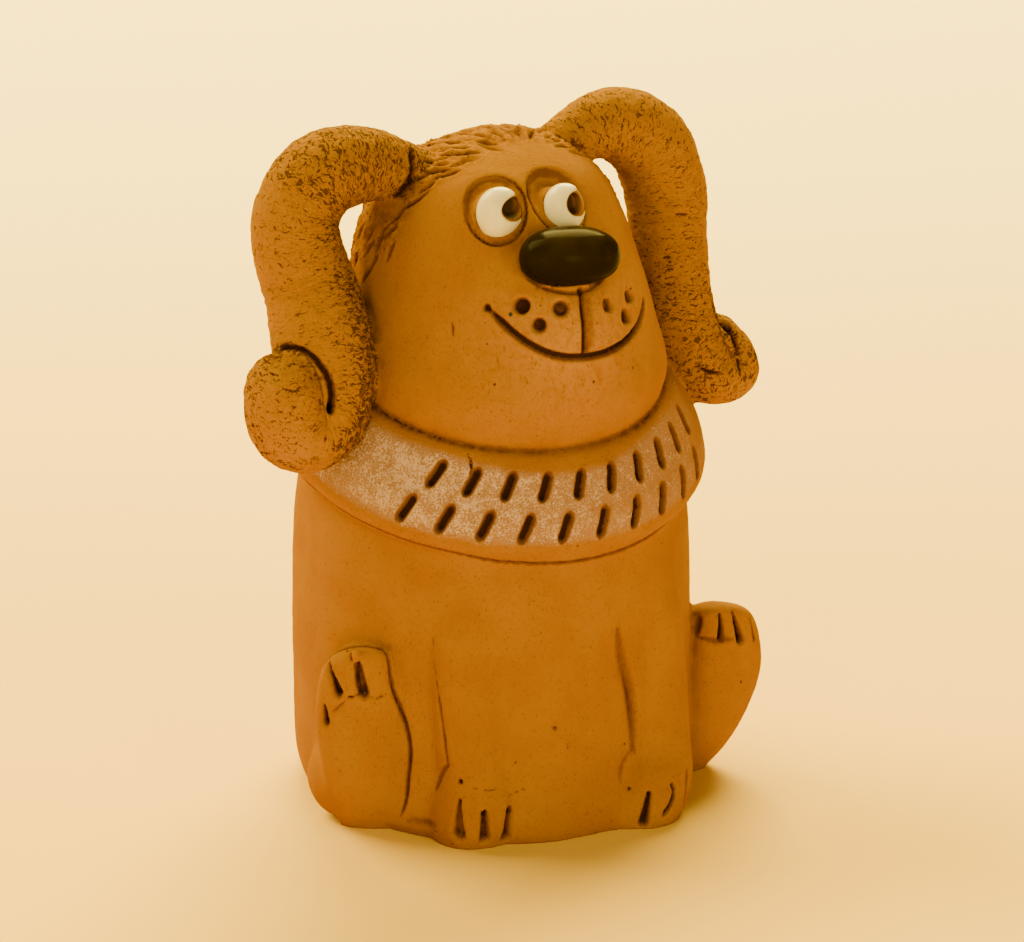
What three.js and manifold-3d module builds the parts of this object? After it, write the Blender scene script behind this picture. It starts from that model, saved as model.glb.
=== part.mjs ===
// A seated clay dog with rolled ears and a wide collar. It is a vessel whistle: the trunk and head are one
// air chamber, and the tail is the mouthpiece. Its windway blows across a window cut in the underside.
import * as THREE from "three";
import { mergeVertices } from "three/addons/utils/BufferGeometryUtils.js";
import Module from "manifold-3d";

const wasm = await Module();
wasm.setup();

// All sizes are millimetres. +Z is up, the dog faces -Y, its own left side is +X,
// and the origin is the middle of the underside, on the trunk's axis.

// Upright forms are lofts. A row is height, middle X, middle Y, half width, then depth to the front and back.
const trunk = {
  rows: [
    [0, 0, 0, 22.8, 25.6, 23.2], [1.6, 0, 0, 24.1, 26.3, 24.4], [6, 0, 0, 24.9, 25.9, 25],
    [16, 0, 0, 25.1, 25.3, 25.1], [28, 0, 0, 25, 25, 25], [37, 0, 0, 24.5, 24.4, 24.5],
    [44, 0, 0, 22.8, 22.8, 23.2], [51, 0, 0, 18, 19, 19.5], [57, 0, 0, 13, 15, 15],
  ],
  sides: 40,
  steps: 11,
};

const head = {
  rows: [
    [44, 0, -3.2, 14.5, 14.5, 14.5], [48, 0, -3.4, 17.3, 17.3, 17.3], [51.5, 0, -3.6, 19.2, 19.2, 18.6],
    [56, 0, -3.6, 20.1, 20.1, 19.2], [62, 0, -2.4, 19, 19, 18.4], [68, 0, -1.2, 17.7, 17.7, 17.5],
    [74, 0.1, -0.3, 15.9, 15.9, 15.9], [79, 0.7, 0, 12.4, 13.2, 13.2], [81.7, 1.4, -0.2, 8.2, 8.8, 8.8],
    [83.3, 1.9, -0.3, 4, 4.4, 4.4], [83.8, 1.9, -0.3, 0.4, 0.4, 0.4],
  ],
  sides: 36,
  steps: 16,
};

// The muzzle is a swelling on the front of the head.
const muzzle = { out: 5.3, height: 67.5, halfWidth: 10, above: 6.5, below: 9, fadeOver: 12 };

// The collar is a wide band that hangs lower in front. Its outline is radius and height on its own axis.
const collar = {
  tilt: THREE.MathUtils.degToRad(16),
  height: 44.8,
  face: { low: [26.8, 0.8], high: [21.6, 9.2] },
  outline: [[17, -2.8], [24, -2.4], [26.2, -1.2], [26.8, 0.8], [25.6, 4], [21.6, 9.2], [20, 10.3], [17, 9.8]],
  sides: 40,
};

// Two rows of short slanting strokes are pressed into the front of the collar.
const strokes = { rows: 2, perRow: 10, from: -52, to: 58, length: 3.6, width: 1.3, depth: 1, lean: 0.3 };

// Each ear is one roll of clay. A point is X, Y, Z and the roll's half thickness fore and aft, then sideways.
const ears = {
  right: [
    [-6, 2, 76.5, 3, 3], [-11.1, 2, 79.6, 3.9, 3.6], [-17.4, 2, 81, 5, 4.9], [-22.6, 1.6, 80, 5.3, 5.3],
    [-25.7, 1, 75.9, 5.3, 5.3], [-25.8, 0, 71.3, 5.6, 5.5], [-24.9, -1.6, 66.6, 5.9, 5.8],
    [-24.9, -4.2, 61.5, 6.2, 6.1], [-25.2, -5.8, 57, 6.3, 6.1], [-26.6, -6.8, 53, 6.3, 5.9],
    [-29.6, -7.4, 51.8, 6.3, 5.3], [-31.3, -7.5, 55.4, 6.2, 4.7], [-30.6, -7.5, 61.4, 5, 4],
  ],
  left: [
    [6, 2, 77.5, 3, 3], [11.6, 2, 80.8, 3.6, 3.4], [17.3, 2, 82.3, 4.6, 4.6], [22.6, 2, 79.4, 5.2, 5.2],
    [24.9, 1.6, 73.6, 5.2, 5.2], [24.8, 0.4, 67.4, 5, 4.9], [24.6, -1.4, 61.6, 5, 4.7],
    [25, -2.8, 56.2, 5.2, 4.8], [27.2, -3.6, 51.6, 5.6, 4.7], [30.5, -3.6, 50.4, 5.8, 4.1],
    [31.3, -3.4, 52.6, 5.4, 3], [28.7, -3, 57.2, 4, 2],
  ],
  sides: 12,
  steps: 28,
};

// The front legs are low ridges on the trunk that end in paws. The left paw stands a little further forward.
const frontLegs = {
  right: [
    [-1, -11.4, -18, 5, 5.1, 4], [2, -11.4, -18, 5.9, 6.5, 4], [5.5, -11.5, -18, 5.7, 7, 4],
    [8.8, -11.6, -18, 5.2, 6.1, 4], [15, -11.6, -18, 5.4, 5.4, 4], [23, -11.8, -18, 5.2, 4.6, 4],
    [29, -12, -17.6, 4.6, 3.9, 4], [33, -12, -17, 2.2, 2, 2],
  ],
  left: [
    [-1, 9.2, -19, 5.6, 7.6, 4], [2.2, 10.2, -19, 6.4, 8.2, 4], [6, 11.3, -19, 6, 7.4, 4],
    [9.2, 12, -18.6, 5.4, 6.3, 4], [15, 12, -18.2, 5.4, 5.5, 4], [23, 11.8, -18, 5.2, 4.8, 4],
    [29, 11.8, -17.6, 4.6, 3.9, 4], [33, 11.8, -17, 2.2, 2, 2],
  ],
  toes: { right: [-15.2, -12.4, -9.7], left: [9.1, 13.3, 16.2], low: 0.8, high: 5.8 },
  roundness: 0.85,
  sides: 14,
  steps: 9,
};

// A hind foot stands upright beside the trunk with its sole to the front. Its rows are for a foot whose sole
// faces -Y and whose outer edge is +X; it is then turned outwards and set at its corner on the trunk.
const hindFeet = {
  rows: [
    [-1, 3.8, 6, 3.6, 1.6, 7], [2, 4, 4.4, 4.9, 2, 10], [6, 4.4, 2.8, 5.4, 2.2, 13], [10, 4.7, 2, 5.6, 2.2, 14],
    [14.5, 5.1, 2, 5.7, 2.2, 13], [18.5, 5.2, 2, 5.3, 2.2, 10], [21.8, 5, 2, 4.6, 2, 6],
    [23.7, 4.5, 2, 3.4, 1.8, 3], [24.5, 4, 2, 1, 1, 1],
  ],
  right: { corner: [-20.2, -16.6], splay: THREE.MathUtils.degToRad(28), sink: 0, tuck: 0 },
  left: { corner: [22, -15.6], splay: THREE.MathUtils.degToRad(12), sink: 1.5, tuck: 3.4 },
  height: 24.5,
  tuckBelow: 13,
  toes: { right: [[4.6, 19.3], [7.7, 18], [9.6, 15]], left: [[4, 18], [6.7, 18], [9.1, 17.6]], length: 5.4 },
  roundness: 0.85,
  sides: 16,
  steps: 10,
};

// Wedge-shaped cuts part the toes, narrow at their top.
const toeCut = { top: 0.3, foot: 0.75, width: 1.3, depth: 2.2, outermost: 0.97 };

const eyes = {
  right: { at: [-5.6, 77.6], pupil: [1.8, 0.1] },
  left: { at: [2.4, 77.7], pupil: [1.9, -0.3] },
  socket: [4.1, 2.6, 5],
  rim: [3.5, 2.6, 4.3],
  rimInset: 0.8,
  ball: [3, 2.5, 3.5],
  pupilRadius: 1.25,
  pupilFloor: 0.9,
  gap: 0.45,
};

const nose = { at: [0.4, -20.9, 73], half: [6.35, 4.2, 3.8], gap: 0.3 };
const noseLip = { back: 0.6, drop: 1, half: [5.9, 3.6, 3.6] };

// The mouth is one groove: a wide arc, a little higher on the right cheek than on the left.
const mouth = { middle: 1.7, half: 11.1, low: 61.5, lift: 4.4, slope: 1.4, radius: 0.75, points: 16 };
const lipGroove = { from: [0.7, 70], to: [0.3, 61.6], radius: 0.7 };
const whiskerPits = {
  places: [[-6.1, 67.7], [-4.8, 66], [-2.5, 67.7], [3.9, 67.1], [7.6, 65], [9.1, 66.5]],
  radius: 0.85,
  depth: 1,
  cheekRadius: 18,
};

// The inside of the vessel, and the tail with its windway, window and edge.
const chamber = {
  outline: [
    [0, 6.5], [15.5, 6.5], [18.4, 9.5], [18.8, 20], [18.4, 32], [16.4, 39], [12, 45.5],
    [10.8, 52], [11.6, 60], [10.6, 67], [6.4, 72], [0, 73.6],
  ],
  sides: 20,
};
const tail = {
  points: [[0, 17, 4.4, 5.5, 4.2], [0, 24, 4.6, 6.8, 4.8], [0, 31, 4.8, 6.4, 4.5], [0, 41, 5.2, 5.6, 3.8]],
  end: 38.5,
  sides: 12,
  steps: 7,
};
const windway = { width: 7, height: 1.5, from: 14, to: 42, low: 3, rise: 0.085 };
const soundWindow = { from: 9.5, to: 14.6, edge: 2.8, rampFrom: 3.4, backFrom: 6.6, floor: 7.4, below: 1 };

// Cutting blocks reach this far beyond the clay. Points closer than the weld are one point.
const beyond = 200;
const weld = 1e-4;

function solidOf(geometry) {
  const bare = geometry.clone();
  bare.deleteAttribute("normal");
  bare.deleteAttribute("uv");
  const merged = mergeVertices(bare, weld);
  return new wasm.Manifold(
    new wasm.Mesh({
      numProp: 3,
      vertProperties: merged.attributes.position.array,
      triVerts: new Uint32Array(merged.index.array),
    }),
  );
}

function geometryOf(solid) {
  const mesh = solid.getMesh();
  const geometry = new THREE.BufferGeometry();
  geometry.setAttribute("position", new THREE.BufferAttribute(mesh.vertProperties, 3));
  geometry.setIndex(new THREE.BufferAttribute(mesh.triVerts, 1));
  geometry.computeVertexNormals();
  return geometry;
}

// Moves every vertex of a geometry with a function that changes the point it is given.
function reshape(geometry, change) {
  const points = geometry.attributes.position;
  const point = new THREE.Vector3();
  for (let i = 0; i < points.count; i++) {
    change(point.fromBufferAttribute(points, i));
    points.setXYZ(i, point.x, point.y, point.z);
  }
  return geometry;
}

// Reads a table of rows as smooth curves, share 0 being its first row and share 1 its last.
function rowReader(rows) {
  const curve = (i, j, k) =>
    new THREE.CatmullRomCurve3(rows.map((r) => new THREE.Vector3(r[i], r[j], r[k])), false, "catmullrom", 0.5);
  const place = curve(0, 1, 2);
  const size = curve(3, 4, rows[0].length - 1);
  return (share) => [...place.getPoint(share).toArray(), ...size.getPoint(share).toArray()];
}

// An upright form with a rounded section at each of its rows. A roundness under 1 squares the section.
function loft({ rows, sides, steps, roundness = 1 }) {
  const read = rowReader(rows);
  const form = new THREE.CylinderGeometry(1, 1, 1, sides, steps).rotateX(Math.PI / 2);
  const squared = (value) => Math.sign(value) * Math.abs(value) ** roundness;
  return reshape(form, (p) => {
    const [z, x, y, across, front, back] = read(p.z + 0.5);
    p.set(x + across * squared(p.x), y + (p.y < 0 ? front : back) * squared(p.y), z);
  });
}

// A roll of clay along a line of [x, y, z, half thickness, half width] points, with rounded ends.
function roll(points, sides, steps, upwards) {
  const read = rowReader(points);
  const line = new THREE.CatmullRomCurve3(
    points.map(([x, y, z]) => new THREE.Vector3(x, y, z)), false, "catmullrom", 0.5);
  const length = line.getLength();
  const frames = [];
  for (let step = 0; step <= steps; step++) {
    const along = (1 - Math.cos((Math.PI * step) / steps)) / 2;
    const share = THREE.MathUtils.lerp(step / steps, along, 0.35);
    const t = line.getUtoTmapping(share);
    const [, , , thick, wide] = read(t);
    const ahead = line.getTangent(t);
    const across = upwards.clone().addScaledVector(ahead, -upwards.dot(ahead)).normalize();
    const toEnd = Math.min(share, 1 - share) * length;
    const rounding = Math.sqrt(1 - (1 - Math.min(toEnd / wide, 1)) ** 2);
    const side = new THREE.Vector3().crossVectors(ahead, across);
    frames.push({
      middle: line.getPoint(t),
      across: across.multiplyScalar(thick * rounding),
      side: side.multiplyScalar(wide * rounding),
    });
  }
  const form = new THREE.CylinderGeometry(1, 1, 1, sides, steps, false).rotateX(Math.PI / 2);
  return reshape(form, (p) => {
    const { middle, across, side } = frames[Math.round((p.z + 0.5) * steps)];
    const [u, v] = [p.x, p.y];
    p.copy(middle).addScaledVector(across, u).addScaledVector(side, v);
  });
}

function ball(half, at, sides, rows) {
  return new THREE.SphereGeometry(1, sides, rows).rotateX(Math.PI / 2).scale(...half).translate(...at);
}

// A round bar along a curve.
function bar(points, radius, steps, sides) {
  const section = new THREE.Shape();
  for (let i = 0; i < sides; i++) {
    const angle = (2 * Math.PI * i) / sides;
    const corner = [radius * Math.cos(angle), radius * Math.sin(angle)];
    if (i === 0) section.moveTo(...corner);
    else section.lineTo(...corner);
  }
  section.closePath();
  const path = new THREE.CatmullRomCurve3(points.map((p) => new THREE.Vector3(...p)));
  return new THREE.ExtrudeGeometry(section, { steps, extrudePath: path, bevelEnabled: false });
}

// The head's rows read at many heights, lowest first.
const readHead = rowReader(head.rows);
const sliceCount = 120;
const headSlices = Array.from({ length: sliceCount + 1 }, (_, i) => readHead(i / sliceCount));

function headSlice(z) {
  return headSlices.find((slice) => slice[0] >= z) ?? headSlices.at(-1);
}

function muzzleSwelling(x, z) {
  const rise = z - muzzle.height;
  const reach = rise > 0 ? muzzle.above : muzzle.below;
  return muzzle.out * Math.exp(-((rise / reach) ** 2) - (x / muzzle.halfWidth) ** 2);
}

// How far the muzzle swells at a point that lies so far in front of the head's middle.
function swellingAt(x, z, ahead) {
  return muzzleSwelling(x, z) * THREE.MathUtils.clamp(ahead / muzzle.fadeOver, 0, 1);
}

// The Y of the head's front at a given X and Z.
function faceAt(x, z) {
  const [, , y, across, front] = headSlice(z);
  const ahead = front * Math.sqrt(Math.max(1 - (x / across) ** 2, 0));
  return y - ahead - swellingAt(x, z, ahead);
}

function makeHead() {
  const form = reshape(loft(head), (p) => {
    const middle = headSlice(p.z)[2];
    p.y -= swellingAt(p.x, p.z, middle - p.y);
  });
  return solidOf(form);
}

function makeCollar() {
  const line = [...collar.outline, collar.outline[0]].map(([r, z]) => new THREE.Vector2(r, z));
  const band = new THREE.LatheGeometry(line, collar.sides).rotateX(Math.PI / 2);
  let solid = solidOf(band);
  const { low, high } = collar.face;
  const slope = Math.atan2(low[0] - high[0], high[1] - low[1]);
  for (let row = 0; row < strokes.rows; row++) {
    for (let i = 0; i < strokes.perRow; i++) {
      const share = (i + 0.5 * (row + 0.5)) / strokes.perRow;
      const angle = THREE.MathUtils.degToRad(THREE.MathUtils.lerp(strokes.from, strokes.to, share));
      const up = (row + 0.5) / strokes.rows;
      const reach = THREE.MathUtils.lerp(low[0], high[0], up);
      const cut = new THREE.BoxGeometry(strokes.width, 2 * strokes.depth, strokes.length);
      cut.rotateY(strokes.lean).rotateX(-slope);
      cut.translate(0, -reach, THREE.MathUtils.lerp(low[1], high[1], up)).rotateZ(angle);
      solid = solid.subtract(solidOf(cut));
    }
  }
  return solid.rotate([THREE.MathUtils.radToDeg(collar.tilt), 0, 0]).translate([0, 0, collar.height]);
}

// Cuts one wedge into the front of a loft's row, between two heights at a given X.
function partToes(solid, row, roundness, at, low, high) {
  const [, x, y, half, front] = row;
  const aside = Math.min(Math.abs(at - x) / half, toeCut.outermost) ** (1 / roundness);
  const face = y - front * (1 - aside ** 2) ** (roundness / 2);
  const wedge = new THREE.CylinderGeometry(toeCut.top, toeCut.foot, 1, 4, 1).rotateX(Math.PI / 2);
  wedge.scale(toeCut.width, toeCut.depth, high - low).translate(at, face, (low + high) / 2);
  return solid.subtract(solidOf(wedge));
}

function makeFrontLeg(side) {
  const rows = frontLegs[side];
  const { low, high } = frontLegs.toes;
  let leg = solidOf(loft({ ...frontLegs, rows }));
  for (const at of frontLegs.toes[side]) {
    leg = partToes(leg, rows[2], frontLegs.roundness, at, low, high);
  }
  return leg;
}

function makeHindFoot(name, side) {
  const { corner, splay, sink, tuck } = hindFeet[name];
  const rows = hindFeet.rows.map(([z, x, y, half, ...depths]) => {
    const narrower = (tuck / 2) * Math.max(1 - z / hindFeet.tuckBelow, 0);
    return [z * (1 - sink / hindFeet.height), side * (x - narrower), y, half - narrower, ...depths];
  });
  let foot = solidOf(loft({ ...hindFeet, rows }));
  for (const [out, low] of hindFeet.toes[name]) {
    foot = partToes(foot, rows[5], hindFeet.roundness, side * out, low, low + hindFeet.toes.length);
  }
  return foot.rotate([0, 0, THREE.MathUtils.radToDeg(side * splay)]).translate([...corner, 0]);
}

function eyeForm(half, [x, z], inset, sides, rows) {
  return solidOf(ball(half, [x, faceAt(x, z) + inset, z], sides, rows));
}

function makeEye({ at, pupil }) {
  const [x, z] = [at[0] + pupil[0], at[1] + pupil[1]];
  const pit = new THREE.CylinderGeometry(eyes.pupilRadius, eyes.pupilRadius, eyes.ball[1], 10);
  pit.translate(x, faceAt(...at) - eyes.ball[1] / 2 - eyes.pupilFloor, z);
  return eyeForm(eyes.ball, at, 0, 16, 8).subtract(solidOf(pit));
}

function grown(half, gap) {
  return half.map((size) => size + gap);
}

function cutFace(solid) {
  for (const eye of [eyes.right, eyes.left]) {
    solid = solid
      .subtract(eyeForm(eyes.socket, eye.at, 0, 14, 8))
      .add(eyeForm(eyes.rim, eye.at, eyes.rimInset, 12, 6))
      .subtract(eyeForm(grown(eyes.ball, eyes.gap), eye.at, 0, 12, 6));
  }
  const lip = ball(noseLip.half, [nose.at[0], nose.at[1] + noseLip.back, nose.at[2] - noseLip.drop], 14, 8);
  solid = solid.add(solidOf(lip)).subtract(solidOf(ball(grown(nose.half, nose.gap), nose.at, 14, 8)));
  const arc = [];
  for (let i = 0; i <= mouth.points; i++) {
    const u = (2 * i) / mouth.points - 1;
    const x = mouth.middle + mouth.half * u;
    const z = mouth.low + mouth.lift * u * u - mouth.slope * u;
    arc.push([x, faceAt(x, z), z]);
  }
  solid = solid.subtract(solidOf(bar(arc, mouth.radius, 14, 4)));
  const { from, to } = lipGroove;
  const groove = [0, 0.5, 1].map((share) => {
    const x = THREE.MathUtils.lerp(from[0], to[0], share);
    const z = THREE.MathUtils.lerp(from[1], to[1], share);
    return [x, faceAt(x, z), z];
  });
  solid = solid.subtract(solidOf(bar(groove, lipGroove.radius, 2, 4)));
  for (const [x, z] of whiskerPits.places) {
    const pit = new THREE.CylinderGeometry(whiskerPits.radius, whiskerPits.radius, 2 * whiskerPits.depth, 6);
    pit.rotateZ(x / whiskerPits.cheekRadius).translate(x, faceAt(x, z), z);
    solid = solid.subtract(solidOf(pit));
  }
  return solid;
}

function makeTail() {
  const form = solidOf(roll(tail.points, tail.sides, tail.steps, new THREE.Vector3(1, 0, 0)));
  const offcut = new THREE.BoxGeometry(beyond, beyond, beyond).translate(0, tail.end + beyond / 2, 0);
  return form.subtract(solidOf(offcut));
}

function makeAirway() {
  const corners = chamber.outline.map(([r, z]) => new THREE.Vector2(r, z));
  const inside = solidOf(new THREE.LatheGeometry(corners, chamber.sides).rotateX(Math.PI / 2));
  const { from, to, edge, rampFrom, backFrom, floor, below } = soundWindow;
  const slot = new THREE.Shape([
    new THREE.Vector2(rampFrom, 0), new THREE.Vector2(rampFrom, -below), new THREE.Vector2(to, -below),
    new THREE.Vector2(to, floor), new THREE.Vector2(backFrom, floor), new THREE.Vector2(from, edge),
  ]);
  const opening = new THREE.ExtrudeGeometry(slot, { depth: windway.width, bevelEnabled: false });
  opening.rotateY(Math.PI / 2).rotateX(Math.PI / 2).translate(-windway.width / 2, 0, 0);
  const length = windway.to - windway.from;
  const channel = new THREE.BoxGeometry(windway.width, length, windway.height);
  channel.translate(0, length / 2, 0).rotateX(windway.rise).translate(0, windway.from, windway.low);
  return inside.add(solidOf(opening)).add(solidOf(channel));
}

function makeClay() {
  const aside = new THREE.Vector3(0, 1, 0);
  const ground = solidOf(new THREE.BoxGeometry(beyond, beyond, beyond).translate(0, 0, -beyond / 2));
  return cutFace(makeHead())
    .add(solidOf(loft(trunk)))
    .add(makeCollar())
    .add(makeFrontLeg("right"))
    .add(makeFrontLeg("left"))
    .add(makeHindFoot("right", -1))
    .add(makeHindFoot("left", 1))
    .add(solidOf(roll(ears.right, ears.sides, ears.steps, aside)))
    .add(solidOf(roll(ears.left, ears.sides, ears.steps, aside)))
    .add(makeTail())
    .subtract(makeAirway())
    .subtract(ground);
}

const clayFinish = new THREE.MeshStandardMaterial({ color: "#b9701c", roughness: 0.85, metalness: 0 });
const noseFinish = new THREE.MeshStandardMaterial({ color: "#1d160c", roughness: 0.12, metalness: 0 });
const eyeFinish = new THREE.MeshStandardMaterial({ color: "#d8c8ac", roughness: 0.2, metalness: 0 });

function named(name, solid, material) {
  const mesh = new THREE.Mesh(geometryOf(solid), material);
  mesh.name = name;
  return mesh;
}

const whistle = new THREE.Group();
whistle.add(
  named("clay_body", makeClay(), clayFinish),
  named("nose", solidOf(ball(nose.half, nose.at, 20, 12)), noseFinish),
  named("eye_right", makeEye(eyes.right), eyeFinish),
  named("eye_left", makeEye(eyes.left), eyeFinish),
);

export default whistle;
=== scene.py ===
# A seated clay dog that is a whistle: fired ochre clay with a brown wash, a glazed nose and glazed eyes.
# Sizes are in millimetres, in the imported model's frame: +Z is up, the dog faces -Y, its own left is +X.
import math
import random

import bmesh
import bpy
import numpy as np
from mathutils import Matrix, Vector, noise
from mathutils.kdtree import KDTree


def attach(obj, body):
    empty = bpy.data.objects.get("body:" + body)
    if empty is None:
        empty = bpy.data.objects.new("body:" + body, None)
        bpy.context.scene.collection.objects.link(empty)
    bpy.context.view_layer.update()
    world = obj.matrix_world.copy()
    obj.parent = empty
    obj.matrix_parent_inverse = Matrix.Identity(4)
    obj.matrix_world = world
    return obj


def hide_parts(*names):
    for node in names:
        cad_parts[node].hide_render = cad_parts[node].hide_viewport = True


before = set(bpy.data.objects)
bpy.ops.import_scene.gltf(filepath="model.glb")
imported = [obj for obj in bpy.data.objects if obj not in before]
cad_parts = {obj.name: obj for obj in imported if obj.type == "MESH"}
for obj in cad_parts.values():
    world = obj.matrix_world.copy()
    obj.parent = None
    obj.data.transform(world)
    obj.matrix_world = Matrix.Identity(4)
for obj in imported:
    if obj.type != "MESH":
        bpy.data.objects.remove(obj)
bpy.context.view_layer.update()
mm = 0.001


def readRows(rows, t):
    # a smooth curve through the rows of a table, t from 0 at the first row to 1 at the last
    rows = np.asarray(rows, float)
    ends = np.vstack([2 * rows[0] - rows[1], rows, 2 * rows[-1] - rows[-2]])
    place = np.clip(np.asarray(t, float), 0, 1) * (len(rows) - 1)
    i = np.minimum(place.astype(int), len(rows) - 2)
    f = (place - i)[..., None]
    a, b, c, d = ends[i], ends[i + 1], ends[i + 2], ends[i + 3]
    return 0.5 * (2 * b + (c - a) * f + (2 * a - 5 * b + 4 * c - d) * f**2 + (3 * b - a - 3 * c + d) * f**3)


def blendStep(value, low, high):
    # 0 below low, 1 above high, and smooth between
    t = np.clip((value - low) / (high - low), 0, 1)
    return t * t * (3 - 2 * t)


def ringForm(sides, rings):
    # an upright cylinder from z -0.5 to 0.5 with rings of vertices, for a loft or a roll to reshape
    bm = bmesh.new()
    bmesh.ops.create_cone(bm, cap_ends=True, segments=sides, radius1=1, radius2=1, depth=1)
    upright = [e for e in bm.edges if abs(e.verts[0].co.z - e.verts[1].co.z) > 0.5]
    bmesh.ops.subdivide_edges(bm, edges=upright, cuts=rings - 1, use_grid_fill=True)
    return bm


def loft(rows, sides=96, rings=90, roundness=1.0):
    # a row is height, middle x, middle y, half width, depth to the front and to the back
    bm = ringForm(sides, rings)
    read = readRows(rows, np.linspace(0, 1, rings + 1))
    squared = lambda v: math.copysign(abs(v) ** roundness, v)
    for v in bm.verts:
        z, x, y, across, front, back = read[round((v.co.z + 0.5) * rings)]
        deep = front if v.co.y < 0 else back
        v.co = (x + across * squared(v.co.x), y + deep * squared(v.co.y), z)
    return bm


def rollFrames(points, steps):
    # middles, directions and half thicknesses along a roll, evenly spaced but closer at its ends
    fine = np.linspace(0, 1, 800)
    dense = readRows(points, fine)
    run = np.concatenate([[0], np.cumsum(np.linalg.norm(np.diff(dense[:, :3], axis=0), axis=1))])
    even = np.linspace(0, 1, steps + 1)
    share = even * 0.65 + (1 - np.cos(math.pi * even)) / 2 * 0.35
    t = np.interp(share * run[-1], run, fine)
    rows = readRows(points, t)
    ahead = readRows(points, t + 1e-4)[:, :3] - readRows(points, t - 1e-4)[:, :3]
    ahead /= np.linalg.norm(ahead, axis=1)[:, None]
    across = np.array([0, 1.0, 0]) - ahead * ahead[:, 1:2]
    across /= np.linalg.norm(across, axis=1)[:, None]
    side = np.cross(ahead, across)
    toEnd = np.minimum(share, 1 - share) * run[-1]
    rounding = np.sqrt(1 - (1 - np.minimum(toEnd / rows[:, 4], 1)) ** 2)
    return {
        "middle": rows[:, :3], "across": across, "side": side, "run": share * run[-1],
        "thick": rows[:, 3] * rounding, "wide": rows[:, 4] * rounding,
    }


def roll(points, sides=64, steps=150):
    bm = ringForm(sides, steps)
    f = rollFrames(points, steps)
    for v in bm.verts:
        i = round((v.co.z + 0.5) * steps)
        v.co = Vector(f["middle"][i] + f["across"][i] * f["thick"][i] * v.co.x + f["side"][i] * f["wide"][i] * v.co.y)
    return bm


def placed(bm, at, turn=None):
    # the form turned about the origin, then moved
    if turn is not None:
        bmesh.ops.rotate(bm, cent=(0, 0, 0), matrix=turn, verts=bm.verts)
    bmesh.ops.translate(bm, vec=at, verts=bm.verts)
    return bm


def ball(half, at, sides=48, rings=32):
    bm = bmesh.new()
    bmesh.ops.create_uvsphere(bm, u_segments=sides, v_segments=rings, radius=1)
    bmesh.ops.scale(bm, vec=half, verts=bm.verts)
    return placed(bm, at)


def spun(outline, steps, closed=True, merge=1e-4):
    # an outline of radius and height, turned round the z axis; one that isn't closed ends on the axis
    bm = bmesh.new()
    verts = [bm.verts.new((r, 0, z)) for r, z in outline]
    following = verts[1:] + verts[:1] if closed else verts[1:]
    edges = [bm.edges.new(pair) for pair in zip(verts, following)]
    bmesh.ops.spin(bm, geom=verts + edges, axis=(0, 0, 1), cent=(0, 0, 0), dvec=(0, 0, 0),
                   angle=2 * math.pi, steps=steps, use_merge=True)
    bmesh.ops.remove_doubles(bm, verts=bm.verts, dist=merge)
    if not closed:
        bmesh.ops.holes_fill(bm, edges=[e for e in bm.edges if e.is_boundary])
    return bm


def asObject(name, forms):
    # several closed forms in one mesh, in metres
    whole = bmesh.new()
    for bm in forms:
        bmesh.ops.recalc_face_normals(bm, faces=bm.faces)
        part = bpy.data.meshes.new("part")
        bm.to_mesh(part)
        bm.free()
        whole.from_mesh(part)
        bpy.data.meshes.remove(part)
    bmesh.ops.scale(whole, vec=(mm, mm, mm), verts=whole.verts)
    mesh = bpy.data.meshes.new(name)
    whole.to_mesh(mesh)
    whole.free()
    piece = bpy.data.objects.new(name, mesh)
    bpy.context.scene.collection.objects.link(piece)
    return piece


def applied(piece):
    # the piece with its modifiers made part of its mesh
    bpy.context.view_layer.update()
    graph = bpy.context.evaluated_depsgraph_get()
    mesh = bpy.data.meshes.new_from_object(piece.evaluated_get(graph))
    old = piece.data
    piece.modifiers.clear()
    piece.data = mesh
    bpy.data.meshes.remove(old)
    mesh.name = piece.name
    return piece


def cutWith(piece, operation, *tools, solver="EXACT"):
    for tool in tools:
        step = piece.modifiers.new(operation.lower(), "BOOLEAN")
        step.operation = operation
        step.solver = solver
        step.object = tool
    applied(piece)
    for tool in tools:
        bpy.data.objects.remove(tool)
    return piece


trunk = {
    "rows": [
        [-1, 0, 0, 22.1, 25, 22.4], [0, 0, 0, 22.8, 25.6, 23.2], [1.6, 0, 0, 24.1, 26.3, 24.4],
        [6, 0, 0, 24.9, 25.9, 25], [16, 0, 0, 25.1, 25.3, 25.1], [28, 0, 0, 25, 25, 25],
        [37, 0, 0, 24.5, 24.4, 24.5], [44, 0, 0, 22.8, 22.8, 23.2], [51, 0, 0, 18, 19, 19.5],
        [57, 0, 0, 13, 15, 15],
    ],
}

head = {
    "rows": [
        [44, 0, -3.2, 14.5, 14.5, 14.5], [48, 0, -3.4, 17.3, 17.3, 17.3], [51.5, 0, -3.6, 19.2, 19.2, 18.6],
        [56, 0, -3.6, 20.1, 20.1, 19.2], [62, 0, -2.4, 19, 19, 18.4], [68, 0, -1.2, 17.7, 17.7, 17.5],
        [74, 0.1, -0.3, 15.9, 15.9, 15.9], [79, 0.7, 0, 12.4, 13.2, 13.2], [81.7, 1.4, -0.2, 8.2, 8.8, 8.8],
        [83.3, 1.9, -0.3, 4, 4.4, 4.4], [83.8, 1.9, -0.3, 0.4, 0.4, 0.4],
    ],
    "muzzle": {"out": 5.3, "height": 67.5, "halfWidth": 10, "above": 6.5, "below": 9, "fadeOver": 12},
}

collar = {
    "tilt": math.radians(16),
    "height": 44.8,
    "low": (26.8, 0.8),
    "high": (21.6, 9.2),
    "outline": [(17, -2.8), (22, -2.7), (25.1, -2.2), (26.5, -0.8), (26.8, 0.8), (25.7, 4), (23.4, 7.3), (21.7, 9.4),
                (20.4, 10.2), (19.2, 9.6), (17, 8)],
}

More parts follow.
